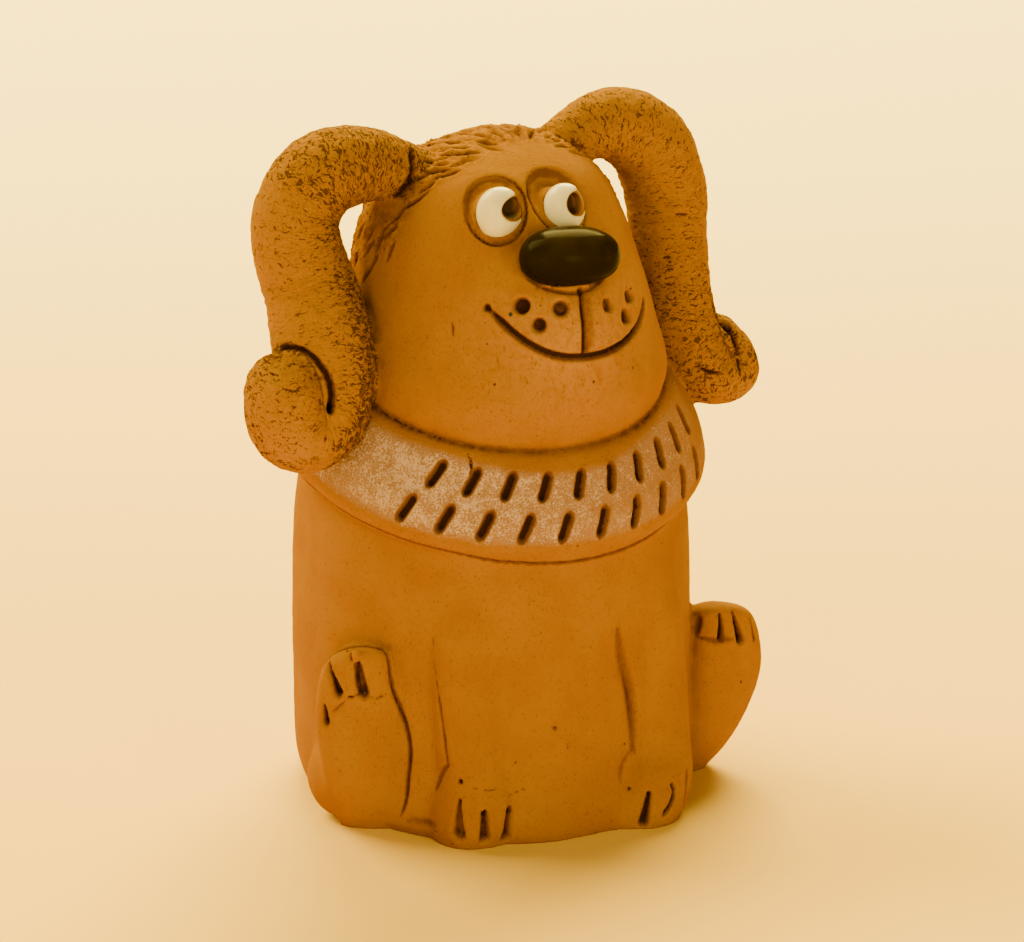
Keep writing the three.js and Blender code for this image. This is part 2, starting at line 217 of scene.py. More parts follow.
ears = {
    "right": [
        [-6, 2, 76.5, 3, 3], [-11.1, 2, 79.6, 3.9, 3.6], [-17.4, 2, 81, 5, 4.9], [-22.6, 1.6, 80, 5.3, 5.3],
        [-25.7, 1, 75.9, 5.3, 5.3], [-25.8, 0, 71.3, 5.6, 5.5], [-24.9, -1.6, 66.6, 5.9, 5.8],
        [-24.9, -4.2, 61.5, 6.2, 6.1], [-25.2, -5.8, 57, 6.3, 6.1], [-26.6, -6.8, 53, 6.3, 5.9],
        [-29.6, -7.4, 51.8, 6.3, 5.3], [-31.3, -7.5, 55.4, 6.2, 4.7], [-30.6, -7.5, 61.4, 5, 4],
    ],
    "left": [
        [6, 2, 77.5, 3, 3], [11.6, 2, 80.8, 3.6, 3.4], [17.3, 2, 82.3, 4.6, 4.6], [22.6, 2, 79.4, 5.2, 5.2],
        [24.9, 1.6, 73.6, 5.2, 5.2], [24.8, 0.4, 67.4, 5, 4.9], [24.6, -1.4, 61.6, 5, 4.7],
        [25, -2.8, 56.2, 5.2, 4.8], [27.2, -3.6, 51.6, 5.6, 4.7], [30.5, -3.6, 50.4, 5.8, 4.1],
        [31.3, -3.4, 52.6, 5.4, 3], [28.7, -3, 57.2, 4, 2],
    ],
}

frontLegs = {
    "right": [
        [-1, -11.4, -18, 5, 5.1, 4], [2, -11.4, -18, 5.9, 6.5, 4], [5.5, -11.5, -18, 5.7, 7, 4],
        [8.8, -11.6, -18, 5.2, 6.1, 4], [15, -11.6, -18, 5.4, 5.4, 4], [23, -11.8, -18, 5.2, 4.6, 4],
        [29, -12, -17.6, 4.6, 3.9, 4], [33, -12, -17, 2.2, 2, 2],
    ],
    "left": [
        [-1, 9.2, -19, 5.6, 7.6, 4], [2.2, 10.2, -19, 6.4, 8.2, 4], [6, 11.3, -19, 6, 7.4, 4],
        [9.2, 12, -18.6, 5.4, 6.3, 4], [15, 12, -18.2, 5.4, 5.5, 4], [23, 11.8, -18, 5.2, 4.8, 4],
        [29, 11.8, -17.6, 4.6, 3.9, 4], [33, 11.8, -17, 2.2, 2, 2],
    ],
    "roundness": 0.85,
}

hindFeet = {
    "rows": [
        [-1, 3.8, 6, 3.6, 1.6, 7], [2, 4, 4.4, 4.9, 2, 10], [6, 4.4, 2.8, 5.4, 2.2, 13], [10, 4.7, 2, 5.6, 2.2, 14],
        [14.5, 5.1, 2, 5.7, 2.2, 13], [18.5, 5.2, 2, 5.3, 2.2, 10], [21.8, 5, 2, 4.6, 2, 6],
        [23.7, 4.5, 2, 3.4, 1.8, 3], [24.5, 4, 2, 1, 1, 1],
    ],
    "right": {"side": -1, "corner": (-20.2, -16.6), "splay": 28, "sink": 0, "tuck": 0, "slope": 0},
    "left": {"side": 1, "corner": (22, -15.6), "splay": 12, "sink": 1.5, "tuck": 3.4, "slope": 0.2},
    "height": 24.5,
    "tuckBelow": 13,
    "roundness": 0.85,
}

tail = {
    "points": [[0, 17, 4.4, 5.5, 4.2], [0, 24, 4.6, 6.8, 4.8], [0, 31, 4.8, 6.4, 4.5], [0, 41, 5.2, 5.6, 3.8]],
    "end": 38.5,
}

headSlices = readRows(head["rows"], np.linspace(0, 1, 241))


def headAt(z):
    return headSlices[min(np.searchsorted(headSlices[:, 0], z), 240)]


def swelling(x, z, ahead):
    m = head["muzzle"]
    rise = z - m["height"]
    reach = m["above"] if rise > 0 else m["below"]
    out = m["out"] * math.exp(-((rise / reach) ** 2) - (x / m["halfWidth"]) ** 2)
    return out * min(max(ahead / m["fadeOver"], 0), 1)


def faceAt(x, z):
    # y of the head's front before anything is cut into it
    _, _, y, across, front, _ = headAt(z)
    ahead = front * math.sqrt(max(1 - (x / across) ** 2, 0))
    return y - ahead - swelling(x, z, ahead)


def headForm():
    bm = loft(head["rows"], sides=128, rings=140)
    for v in bm.verts:
        v.co.y -= swelling(v.co.x, v.co.z, headAt(v.co.z)[2] - v.co.y)
    return bm


def collarForm():
    closed = collar["outline"] + collar["outline"][:3]
    smooth = readRows(closed, np.linspace(1 / (len(closed) - 1), 1 - 1 / (len(closed) - 1), 60))[:-1]
    bm = spun(smooth, steps=180)
    return placed(bm, (0, 0, collar["height"]), Matrix.Rotation(collar["tilt"], 3, "X"))


def hindFootForm(which):
    side, sink, tuck, slope = (hindFeet[which][k] for k in ("side", "sink", "tuck", "slope"))
    rows = []
    for z, x, y, half, front, back in hindFeet["rows"]:
        narrower = tuck / 2 * max(1 - z / hindFeet["tuckBelow"], 0)
        rows.append([z * (1 - sink / hindFeet["height"]), side * (x - narrower), y, half - narrower, front, back])
    bm = loft(rows, sides=72, rings=70, roundness=hindFeet["roundness"])
    for v in bm.verts:
        v.co.z -= slope * max(side * v.co.x - 2, 0) * max(v.co.z / hindFeet["height"], 0) ** 3
    turn = Matrix.Rotation(math.radians(side * hindFeet[which]["splay"]), 3, "Z")
    return placed(bm, (*hindFeet[which]["corner"], 0), turn)


def tailForm():
    bm = roll(tail["points"], sides=48, steps=40)
    everything = bm.verts[:] + bm.edges[:] + bm.faces[:]
    end = {"plane_co": (0, tail["end"], 0), "plane_no": (0, 1, 0), "clear_outer": True}
    cut = bmesh.ops.bisect_plane(bm, geom=everything, **end)
    rim = [e for e in cut["geom_cut"] if isinstance(e, bmesh.types.BMEdge)]
    bmesh.ops.holes_fill(bm, edges=rim)
    return bm


eyes = {
    "right": {"at": (-5.6, 77.6), "half": (2.78, 2.5, 3.2), "shift": (0.26, -0.4), "socket": (3.88, 1.7, 5.3),
              "bare": (1.45, 0.83, 2.2, 1.45), "hole": (1.1, 0.95, 1.85, 1.32)},
    "left": {"at": (2.4, 77.7), "half": (2.52, 2.45, 3.05), "shift": (0.4, -0.55), "socket": (3.65, 1.7, 5.3),
             "bare": (1.25, 0.9, 1.95, 1.5), "hole": (0.5, 0.97, 1.15, 1.38)},
    "socketUp": 0.65,
    "rim": {"grow": 0.55, "deep": 1.55, "back": 1.0},
    "holeDepth": 1.5,
    "glazeThick": 0.12,
    "gap": 0.06,
    "overlap": 0.3,
}

nose = {
    "at": (0.4, -20.9, 73), "half": (6.3, 4.2, 3.62), "gap": 0.12,
    "tilt": -0.05, "squareness": 0.88, "power": 2.3, "flatBelow": 0.1,
}
noseLip = {"back": 0.35, "drop": 0.98, "half": (5.6, 3.95, 3.0)}


def socketPlace(which):
    x, z = eyes[which]["at"]
    return (x, faceAt(x, z + eyes["socketUp"]), z + eyes["socketUp"])


def eyePlace(which):
    (x, z), (aside, up) = eyes[which]["at"], eyes[which]["shift"]
    return (x + aside, faceAt(x, z), z + up)


def eyeLean(which):
    # turns an upright form to lean as the face does at the eye
    x, z = eyes[which]["at"]
    out = Vector((faceAt(x + 1, z) - faceAt(x - 1, z), -2, faceAt(x, z + 1) - faceAt(x, z - 1)))
    return Vector((0, -1, 0)).rotation_difference(out).to_matrix()


def leaningBall(name, which, half, at, back=0.0):
    # a ball that leans as the face does at the eye, set back into it
    return asObject(name, [placed(ball(half, (0, back, 0)), at, eyeLean(which))])


def socketEdge(which, turn):
    # how far out the socket meets the face, in half sizes: degrees anticlockwise from the dog's left
    across, deep, up = eyes[which]["socket"]
    middle, lean = Vector(socketPlace(which)), eyeLean(which)
    low, high = 0.0, 1.0
    for _ in range(12):
        part = (low + high) / 2
        spot = Vector((math.cos(math.radians(turn)) * across * part, 0, math.sin(math.radians(turn)) * up * part))
        for _ in range(6):
            point = middle + lean @ spot
            spot.y += (faceAt(point.x, point.z) - point.y) * 0.7
        low, high = (part, high) if part * part + (spot.y / deep) ** 2 < 1 else (low, part)
    return low


def makeFace():
    # the head with its eye sockets, the clay rings round the eyes, the lip under the nose, and room for the pellets
    both = ("right", "left")
    face = asObject("face", [headForm()])
    cutWith(face, "DIFFERENCE", *[leaningBall("socket", k, eyes[k]["socket"], socketPlace(k)) for k in both])
    x, y, z = nose["at"]
    lip = asObject("lip", [ball(noseLip["half"], (x, y + noseLip["back"], z - noseLip["drop"]))])
    rims = []
    for k in both:
        across, _, up = (h + eyes["rim"]["grow"] for h in eyes[k]["half"])
        rims.append(leaningBall("rim", k, (across, eyes["rim"]["deep"], up), eyePlace(k), eyes["rim"]["back"]))
    cutWith(face, "UNION", lip, *rims)
    pellets = [asObject("pellet", [ball([h - eyes["overlap"] for h in eyes[k]["half"]], eyePlace(k))]) for k in both]
    pellets.append(asObject("pellet", [noseForm(nose["gap"])]))
    return cutWith(face, "DIFFERENCE", *pellets)


# The little curl of clay above the right foot's toes, and the foot's heel.
toeCurl = {"half": (0.85, 0.7, 0.75), "at": (-24.6, -13.7, 23.9)}
heel = {"half": (5.6, 6, 5.4), "at": (-22.2, -5.8, 5.2)}


def makeRawClay():
    face = makeFace()
    forms = [loft(trunk["rows"], sides=144, rings=110), collarForm(), roll(ears["right"]), roll(ears["left"])]
    forms += [loft(frontLegs[k], roundness=frontLegs["roundness"]) for k in ("right", "left")]
    forms += [hindFootForm("right"), hindFootForm("left"), tailForm()]
    forms += [ball(toeCurl["half"], toeCurl["at"], 20, 14), ball(heel["half"], heel["at"])]
    clay = asObject("clay", forms)
    joined = bmesh.new()
    joined.from_mesh(clay.data)
    joined.from_mesh(face.data)
    joined.to_mesh(clay.data)
    joined.free()
    bpy.data.objects.remove(face)
    return clay


earSteps = 300


def unrolled(points, rows):
    # where points lie on a roll: how deep in it (1 is its surface), and their place if it were pulled straight
    f = rollFrames(rows, earSteps)
    depth = np.full(len(points), 99.0)
    straight = np.zeros((len(points), 3))
    reach = np.array(rows)[:, :3]
    near = np.flatnonzero(((points > reach.min(0) - 9) & (points < reach.max(0) + 9)).all(1))
    ahead = np.cross(f["across"], f["side"])
    for part in np.array_split(near, 1 + len(near) // 4000):
        off = points[part, None] - f["middle"][None]
        across, side, along = ((off * way).sum(2) for way in (f["across"], f["side"], ahead))
        deep = (across / (f["thick"] + 0.3)) ** 2 + (side / (f["wide"] + 0.3)) ** 2 + (along / 1.5) ** 2
        i = deep.argmin(1)
        row = np.arange(len(part))
        depth[part] = np.sqrt(deep[row, i])
        straight[part] = np.c_[f["run"][i] + along[row, i], across[row, i], side[row, i]]
    return depth, straight


def pointsOf(mesh):
    flat = np.empty(len(mesh.vertices) * 3, np.float32)
    mesh.vertices.foreach_get("co", flat)
    return flat.reshape(-1, 3) / mm


class Skin:
    # the clay's surface as arrays in millimetres, with the fields that colour it
    def __init__(self, piece):
        self.piece = piece
        mesh = piece.data
        self.points = pointsOf(mesh)
        ends = np.empty(len(mesh.edges) * 2, np.int32)
        mesh.edges.foreach_get("vertices", ends)
        self.edges = ends.reshape(-1, 2)
        self.wash = np.zeros(len(self.points))
        self.refresh()

    def refresh(self):
        # gives the points back to the mesh and reads its normals
        mesh = self.piece.data
        mesh.vertices.foreach_set("co", (self.points * mm).astype(np.float32).ravel())
        mesh.update()
        flat = np.empty(len(self.points) * 3, np.float32)
        mesh.vertex_normals.foreach_get("vector", flat)
        self.normals = flat.reshape(-1, 3).astype(float)
        self.tree = KDTree(len(self.points))
        for i, p in enumerate(self.points):
            self.tree.insert(p, i)
        self.tree.balance()

    def averaged(self, values, rounds, weight=None):
        # values smoothed along the edges, everywhere or where a weight lets them
        count = len(self.points)
        edges = self.edges
        if weight is not None:
            edges = edges[(weight[edges] > 0).any(1)]
        a, b = edges.T
        links = np.maximum(np.bincount(a, minlength=count) + np.bincount(b, minlength=count), 1)[:, None]
        share = 0.5 if weight is None else 0.5 * weight[:, None]
        values = values.reshape(count, -1).copy()
        for _ in range(rounds):
            total = np.empty_like(values)
            for k in range(values.shape[1]):
                total[:, k] = np.bincount(a, values[b, k], count) + np.bincount(b, values[a, k], count)
            values += (total / links - values) * share
        return values

    def snapped(self, line):
        # a line's points on the surface, with the directions outwards
        found = [self.tree.find(p)[1] for p in line]
        out = self.normals[found]
        return line - out * ((line - self.points[found]) * out).sum(1)[:, None], out

    def press(self, points, width, depth, wash=1.0, lip=0.06, flat=0.3, ends=0.35, stain=1.35):
        # a groove along a line; width and depth may differ from its first to its last point, and the wash
        # that stays in it reaches out to stain, in half widths
        steps = 10 * len(points)
        share = np.linspace(0, 1, steps)
        line = readRows(points, share) if len(points) > 1 else np.array(points, float)
        line, out = self.snapped(line)
        share = share[:len(line)]
        half = np.interp(share, (0, 1), np.broadcast_to(width, 2)) / 2
        deep = np.interp(share, (0, 1), np.broadcast_to(depth, 2))
        if len(line) > 1 and ends:
            fade = np.sqrt(np.clip(np.minimum(share, 1 - share) / ends, 0.02, 1))
            half, deep = half * (0.4 + 0.6 * fade), deep * fade
        reach = max(2.2, stain) * half.max() + 0.4
        near = np.flatnonzero(((self.points > line.min(0) - reach) & (self.points < line.max(0) + reach)).all(1))
        if not len(near):
            return
        off = self.points[near, None] - line[None]
        rise = (off * out[None]).sum(2)
        away = np.linalg.norm(off - rise[..., None] * out[None], axis=2) + np.maximum(abs(rise) - 1.2, 0)
        i = (away / half).argmin(1)
        u = away[np.arange(len(near)), i] / half[i]
        facing = (self.normals[near] * out[i]).sum(1) > 0.1
        u = np.where(facing, u, 9)
        dip = deep[i] * (1 - blendStep(u, flat, 1.15)) - lip * np.exp(-(((u - 1.45) / 0.3) ** 2))
        self.moved[near] -= out[i] * np.where(u < 3, dip, 0)[:, None]
        self.wash[near] = np.maximum(self.wash[near], wash * (1 - blendStep(u, max(0.1, flat - 0.2), stain)))

    def carve(self, marks):
        # presses marks one after another, and moves the points once for them all
        self.moved = np.zeros_like(self.points)
        for each in marks:
            self.press(**each)
        self.points = self.points + self.moved
        self.refresh()


def faceLine(*places):
    return [[x, faceAt(x, z), z] for x, z in places]


def mark(points, width, depth, wash=1.0, **more):
    # what the tool left: its line, how wide and deep it is, and how much brown wash stays in it
    return {"points": points, "width": width, "depth": depth, "wash": wash, **more}


# The grooves, pits and creases that the tool left in the clay.
carving = {
    "face": [
        mark(faceLine((-9.4, 67.2), (-7.4, 64.7), (-4.9, 62.8), (-2.5, 61.9), (-0.2, 61.6), (2.7, 61.5),
             (6.4, 61.7), (9.5, 62.3), (11.5, 63.2), (12.9, 64.8)), 1.0, 0.85, 0.84, ends=0.06, stain=1.9),
        mark(faceLine((0.6, 69.4), (0.35, 66.7), (0.4, 62.2)), (0.6, 0.9), 0.75, 0.88, ends=0, stain=1.9),
        mark(faceLine((0.85, 69), (0.75, 66.5), (0.85, 62.6)), 1.4, 0.12, 0.46, ends=0.1, lip=0, flat=0,
             stain=2.9),
        mark(faceLine((-4.9, 70.7), (-3.7, 69.9), (-1.7, 69.3), (0.4, 69.1), (2.5, 69.3), (4.5, 69.9),
             (5.7, 70.7)), 0.5, 0.15, 0.9, ends=0.1, lip=0, stain=2),
        mark(faceLine((-9.5, 67.3)), 1.2, 0.7, 1.15, stain=1.2),
        mark(faceLine((-6.25, 67.9)), 2.15, 1.1, 0.95, flat=0.7, stain=1.2),
        mark(faceLine((-4.85, 65.75)), 1.85, 1.0, 0.72, flat=0.7, stain=1.2),
        mark(faceLine((-2.3, 67.75)), 2.0, 0.95, 0.68, flat=0.7, stain=1.2),
        mark(faceLine((4.3, 67.05), (4.9, 66.95)), 1.8, 0.85, 0.64, flat=0.7, stain=1.2, ends=0),
        mark(faceLine((9.1, 66.5), (9.9, 66.35)), 1.7, 0.85, 0.64, flat=0.7, stain=1.2, ends=0),
        mark(faceLine((7.8, 64.65), (8.5, 64.55)), 1.9, 0.9, 0.8, flat=0.7, stain=1.2, ends=0),
        mark(faceLine((-9.2, 62.4), (-9.1, 60.3)), 0.6, 0.12, 0.35, lip=0),
        mark(faceLine((-6.6, 60.6), (-4.9, 60.2)), 0.5, 0.1, 0.3, lip=0),
        mark(faceLine((-12.8, 65.2), (-12.9, 63.6)), 0.4, 0.2, 0.75),
    ],
    "right foot": [
        mark([[-21.4, -14, 24.3], [-21.2, -15.3, 22.9], [-20.9, -15.6, 19.8], [-19.9, -15.8, 16.8],
             [-19.3, -16.2, 14.2], [-19.1, -16.6, 11.3], [-19.3, -16.4, 7.9], [-19.5, -16.1, 4.9],
             [-19.8, -15.3, 2.6]], 0.7, 0.55, 0.58, ends=0.2, stain=1.7),
        mark([[-28.4, -9.2, 21.2], [-26.7, -10.5, 23.1], [-25.4, -11.1, 24], [-24.2, -11.5, 24.3],
             [-23.3, -12.2, 24.5], [-22.3, -13.4, 24.5], [-21.4, -14, 24.3]], 0.9, 0.6, 0.88, stain=1.8),
        mark([[-26.4, -7.4, 23.4], [-25.2, -9.8, 24.3], [-23.2, -12.2, 24.9], [-21, -14.6, 24.6]], 3.4, 0.05, 0.34,
             lip=0, flat=0),
        mark([[-28.4, -11.7, 17.5], [-28.3, -11.9, 15.1]], (0.4, 1.2), (0.5, 1.2), 0.95, ends=0.06),
        mark([[-27.4, -11.3, 22.9], [-26.9, -12.9, 19]], (0.3, 1.3), (0.7, 1.5), 1.0, flat=0.5, ends=0.04,
             stain=1.2),
        mark([[-24.6, -13.6, 23.2], [-24.3, -14.6, 19]], (0.7, 1.5), (0.7, 1.2), 0.62, flat=0.55, ends=0.04,
             stain=1.2),
        mark([[-24.95, -13.5, 22.9], [-24.9, -14.5, 19]], 0.6, 0.4, 1.05, lip=0),
        mark([[-26.2, -13.6, 18.6], [-25, -14.2, 19]], 0.4, 0.3, 0.9),
        mark([[-23.6, -15, 18.7], [-22.7, -15.3, 18.6], [-21.7, -15.6, 19.1]], 0.4, 0.25, 0.7),
        mark([[-27.7, -12.5, 16.5], [-26.3, -13.5, 18.2]], 0.4, 0.25, 0.6),
        mark([[-25.2, -12.9, 24.2], [-24.9, -13.4, 23.2]], 0.35, 0.3, 1.0),
    ],
    "left foot": [
        mark([[24.8, -14.7, 22], [24.9, -15, 18.7]], (0.4, 1.2), (0.6, 1.4), 1.1, ends=0.05),
        mark([[26.7, -14.5, 22], [27.9, -14.5, 17.8]], (0.4, 1.5), (0.6, 1.5), 1.15, ends=0.05),
        mark([[29.8, -13.8, 20.4], [30.3, -13.7, 17.2]], (0.3, 0.8), (0.5, 1), 1.0, ends=0.06),
        mark([[21.8, -14.1, 19.2], [24.2, -15, 18.5], [26.6, -14.8, 18.3]], 0.9, 0.25, 0.62, stain=1.6),
        mark([[21.6, -13.9, 22.6], [21.7, -14.1, 19.4]], 1.2, 0.3, 0.66, stain=1.6),
    ],
    "paws": [
        mark([[-15.5, -23.1, 7], [-15.6, -23, 1.9]], (0.5, 1.8), (0.6, 1.0), 0.56, flat=0.6, ends=0.04),
        mark([[-13, -24.9, 5.5], [-12.6, -24.3, 1.2]], (0.8, 1.5), (0.9, 1.0), 0.6, flat=0.6, ends=0.04),
        mark([[-9.5, -24.8, 5.3], [-9.8, -24, 1]], (1, 1.3), (0.9, 1), 0.6, flat=0.6, ends=0.04),
        mark([[-13, -24.9, 5.5], [-12.9, -24.8, 4.6]], 0.8, 0.4, 1.1, lip=0),
        mark([[-9.4, -24.8, 5.4], [-9.2, -24.8, 4.2]], 0.7, 0.4, 1.05, lip=0),
        mark([[8.8, -26.5, 4.9], [7.8, -26.8, 0.6]], (0.6, 1.4), (0.8, 1.0), 0.8, flat=0.5, ends=0.05),
        mark([[12, -26.6, 5.7], [12.1, -26.9, 3.8], [10.5, -27.2, 1.5]], (0.5, 1.0), 0.8, 0.82, ends=0.12),
        mark([[14.7, -25.6, 6.4], [14, -26.2, 2.2]], 0.6, 0.6, 0.9, ends=0.2),
    ],
    "legs": [
        mark([[-16.9, -18.6, 27.3], [-16.9, -18.9, 24.1], [-16.8, -19.8, 19.9], [-16.6, -20.5, 16.1],
             [-16.4, -21, 12.4], [-16.2, -21.2, 10.5]], (0.3, 0.6), (0.12, 0.4), 0.62, lip=0.02, stain=1.8),
        mark([[-16, -21.4, 10.9], [-16.6, -20.2, 9.5], [-16.9, -19.3, 7]], 1.0, 0.3, 0.55, lip=0, stain=1.6),
        mark([[5.4, -24.4, 26], [6, -24.4, 22.4], [6.9, -24.2, 19.3], [7.5, -24.1, 16.3], [7.8, -24.2, 12.9],
             [7.7, -24.3, 9.6]], 2.8, 0.5, 0.5, lip=0, flat=0),
        mark([[6.5, -24.3, 20], [7.5, -24.1, 16.3], [7.8, -24.2, 12.4]], 1.1, 0.25, 0.72, lip=0, stain=1.6),
        mark([[7.8, -24.3, 10.5], [5.8, -25, 8.1], [5.5, -25.2, 5.8]], 1.0, 0.2, 0.42, lip=0, stain=1.7),
        mark([[-16.6, -19.9, 2.6], [-17.8, -17.6, 2.4], [-19.2, -15.9, 2.2]], 1.6, 0.3, 0.42, lip=0, flat=0,
             stain=1.6),
    ],
    "ears": [
        mark([[-32, -5.4, 61.2], [-30.6, -6.5, 61.9], [-29.3, -8.7, 62], [-28.1, -10.2, 60.8],
             [-27.3, -11.3, 59.2], [-27, -12.1, 57.2], [-27.4, -12.6, 55]], (0.7, 1.1), (0.6, 1.2), 0.88,
             ends=0.06, stain=1.6),
        mark([[-27.3, -12.4, 56.2], [-27.5, -12.7, 54.9]], 0.9, 1.2, 1.25),
        mark([[-10.9, -0.3, 82.9], [-11.2, -1.2, 82.2], [-11.3, -1.7, 81.3], [-11.4, -2, 80.4],
             [-11.8, -1.9, 79.2], [-12.8, -1.7, 78.2], [-13.6, -1.2, 77.3]], 0.9, 0.8, 0.85, ends=0.2, stain=2),
        mark([[27.4, -4.9, 61.3], [28, -5.5, 59.9], [29.5, -6.3, 56.9], [30.6, -8, 53.4]], 1.2, 1.1, 0.9,
             stain=1.5),
        mark([[24.4, -8.6, 52.7], [26.1, -9, 51.9], [27.9, -9.3, 51.5]], 0.6, 0.5, 1.0),
    ],
    "knocks": [
        mark([[-3.5, -25.1, 14.8]], 0.8, 0.3, 0.75),
        mark([[-14.6, -22.2, 8.9]], 0.8, 0.5, 1.1),
        mark([[-12.4, -19.3, 49.6], [-12.3, -19.9, 48.7], [-12.6, -20.3, 47.4]], 0.4, 0.4, 1.0),
        mark([[6.6, -25.6, 5.4]], 0.6, 0.3, 1),
        mark([[-13.6, -22.9, 8.1], [-12.2, -24.1, 7.8], [-10.8, -24.6, 8]], 0.3, 0.12, 0.7, lip=0),
        mark([[-9.4, -24.9, 6.9], [-7.6, -25, 7.4]], 0.3, 0.12, 0.7, lip=0),
    ],
}

# The brown round each eye, at turns anticlockwise from the dog's left: a thin dark line on the socket's edge,
# and a broad soft band inside it.
eyeBrown = {
    "turns": (-180, -165, -120, -95, -80, -60, -40, -15, 15, 50, 75, 110, 150, 165, 180),
    "right": {"line": (0.45, 0.9, 1.15, 0.95, 0.5, 0.8, 1, 1, 1.05, 0.95, 0.6, 0.35, 0.3, 0.35, 0.45),
              "band": (0.5, 0.4, 0.3, 0.3, 0.3, 0.35, 0.35, 0.3, 0.3, 0.6, 0.8, 0.8, 0.75, 0.65, 0.5)},
    "left": {"line": (1.1, 1.1, 1, 0.9, 0.8, 0.7, 0.6, 0.55, 0.5, 0.4, 0.3, 0.35, 0.9, 1.1, 1.1),
             "band": (0.35, 0.3, 0.3, 0.3, 0.3, 0.3, 0.3, 0.35, 0.5, 0.7, 0.8, 0.8, 0.5, 0.4, 0.35)},
    "lineWidth": 0.055, "bandFrom": 0.8, "depth": 0.35, "reach": 7.5,
}


def eyeRings(skin):
    # marks the skin round the eyes, presses in the thin line, and fits the skin to the eyes
    turns = np.linspace(-180, 180, 73)
    for which in ("right", "left"):
        x, y, z = socketPlace(which)
        across, _, up = eyes[which]["socket"]
        away = np.hypot(skin.points[:, 0] - x, skin.points[:, 2] - z)
        near = np.flatnonzero((away < eyeBrown["reach"]) & (skin.points[:, 1] < -5))
        lean = np.array(eyeLean(which))
        flat = (skin.points[near] - (x, y, z)) @ lean
        dx, dz = flat[:, 0] / across, flat[:, 2] / up
        turn = np.degrees(np.arctan2(dz, dx))
        ring = np.hypot(dx, dz) / np.interp(turn, turns, [socketEdge(which, t) for t in turns])
        lineAt, bandAt = (np.interp(turn, eyeBrown["turns"], eyeBrown[which][k]) for k in ("line", "band"))
        line = np.exp(-(((ring - 1.0) / eyeBrown["lineWidth"]) ** 2)) * lineAt
        start = eyeBrown["bandFrom"]
        band = blendStep(ring, start - 0.08, start + 0.1) * (1 - blendStep(ring, 0.96, 1.1)) * bandAt
        skin.wash[near] = np.maximum(skin.wash[near], np.maximum(line, band))
        skin.points[near] += line[:, None] * eyeBrown["depth"] * lean[:, 1]
        middle, half = np.array(eyePlace(which)), np.array(eyes[which]["half"])
        off = (skin.points[near] - middle) / half
        size = np.linalg.norm(off, axis=1)
        fit = 1 + eyes["gap"] / half.mean()
        inside = (size < fit) & (size > 0.4)
        skin.points[near[inside]] = middle + off[inside] * half * (fit / size[inside])[:, None]
    skin.refresh()


def seenFromCollar(points):
    # distance from the tilted collar's axis, height above its middle, and degrees from its front
    place = points - np.array([0, 0, collar["height"]])
    tilt = collar["tilt"]
    y = place[:, 1] * math.cos(tilt) + place[:, 2] * math.sin(tilt)
    z = place[:, 2] * math.cos(tilt) - place[:, 1] * math.sin(tilt)
    return np.hypot(place[:, 0], y), z, np.degrees(np.arctan2(place[:, 0], -y))


def jointBrown(points):
    # the wash that stays where the head stands on the collar
    out, z, _ = seenFromCollar(points)
    top = np.array([p for p in collar["outline"] if p[1] > 3.5])[::-1]
    offCollar = abs(z - np.interp(out, top[:, 0], top[:, 1]))
    rows = headSlices[np.clip(np.searchsorted(headSlices[:, 0], points[:, 2]), 0, 240)]
    deep = np.where(points[:, 1] < rows[:, 2], rows[:, 4], rows[:, 5])
    offHead = abs(np.hypot((points[:, 0] - rows[:, 1]) / rows[:, 3], (points[:, 1] - rows[:, 2]) / deep) - 1) * 19
    soft = (1 - blendStep(offHead, 0.2, 1.6)) * (1 - blendStep(offCollar, 0.2, 1.6))
    sharp = (1 - blendStep(offHead, 0.15, 0.6)) * (1 - blendStep(offCollar, 0.15, 0.6))
    ragged = np.sin(points[:, 0] * 2.9 + points[:, 1] * 1.7) * np.sin(points[:, 0] * 1.3 - points[:, 1] * 3.1)
    return np.maximum(soft * 0.5, sharp * (1.2 + 0.3 * ragged))


strokes = {"rows": 2, "perRow": 10, "from": -52, "to": 58, "length": 3.4, "width": 1.15, "depth": 0.95, "lean": 0.3}


def onCollar(angle, share, out=0.0):
    # a point on the collar's sloping face: degrees from the front, and a share of the way up
    low, high = collar["low"], collar["high"]
    reach = low[0] + (high[0] - low[0]) * share + out
    a = math.radians(angle)
    point = Vector((math.sin(a) * reach, -math.cos(a) * reach, low[1] + (high[1] - low[1]) * share))
    point.rotate(Matrix.Rotation(collar["tilt"], 3, "X"))
    return list(point + Vector((0, 0, collar["height"])))


def collarMarks():
    # two rows of short slanting strokes, and the line under the collar
    marks = []
    look = {"width": strokes["width"], "depth": strokes["depth"], "wash": 0.86}
    slope = math.dist(collar["low"], collar["high"])
    for row in range(strokes["rows"]):
        for i in range(strokes["perRow"]):
            share = (i + 0.5 * (row + 0.5)) / strokes["perRow"]
            angle = strokes["from"] + (strokes["to"] - strokes["from"]) * share
            up = (row + 0.5) / strokes["rows"]
            lift = strokes["length"] / 2 * math.cos(strokes["lean"]) / slope
            aside = math.degrees(strokes["length"] / 2 * math.sin(strokes["lean"]) / collar["high"][0])
            ends = [onCollar(angle + aside * k, up + lift * k) for k in (-1, 0, 1)]
            marks.append(mark(ends, **look, flat=0.4, lip=0.1, ends=0.15, stain=2.1))
    under = [onCollar(angle, -0.3, -0.9) for angle in range(-180, 181, 6)]
    return marks + [mark(under, 0.5, 0.2, 0.85, ends=0, lip=0, stain=2)]


hair = {
    "crown": (0.5, -8, 84), "centre": (0, -0.5, 68), "length": 4.4, "apart": 0.95, "width": 0.9, "depth": 0.37,
    "lowest": 58, "tries": 6000, "seed": 11, "crumbs": 0.2, "frontEdge": -5.4, "edgeBends": 72, "edgeLean": 1.15,
}


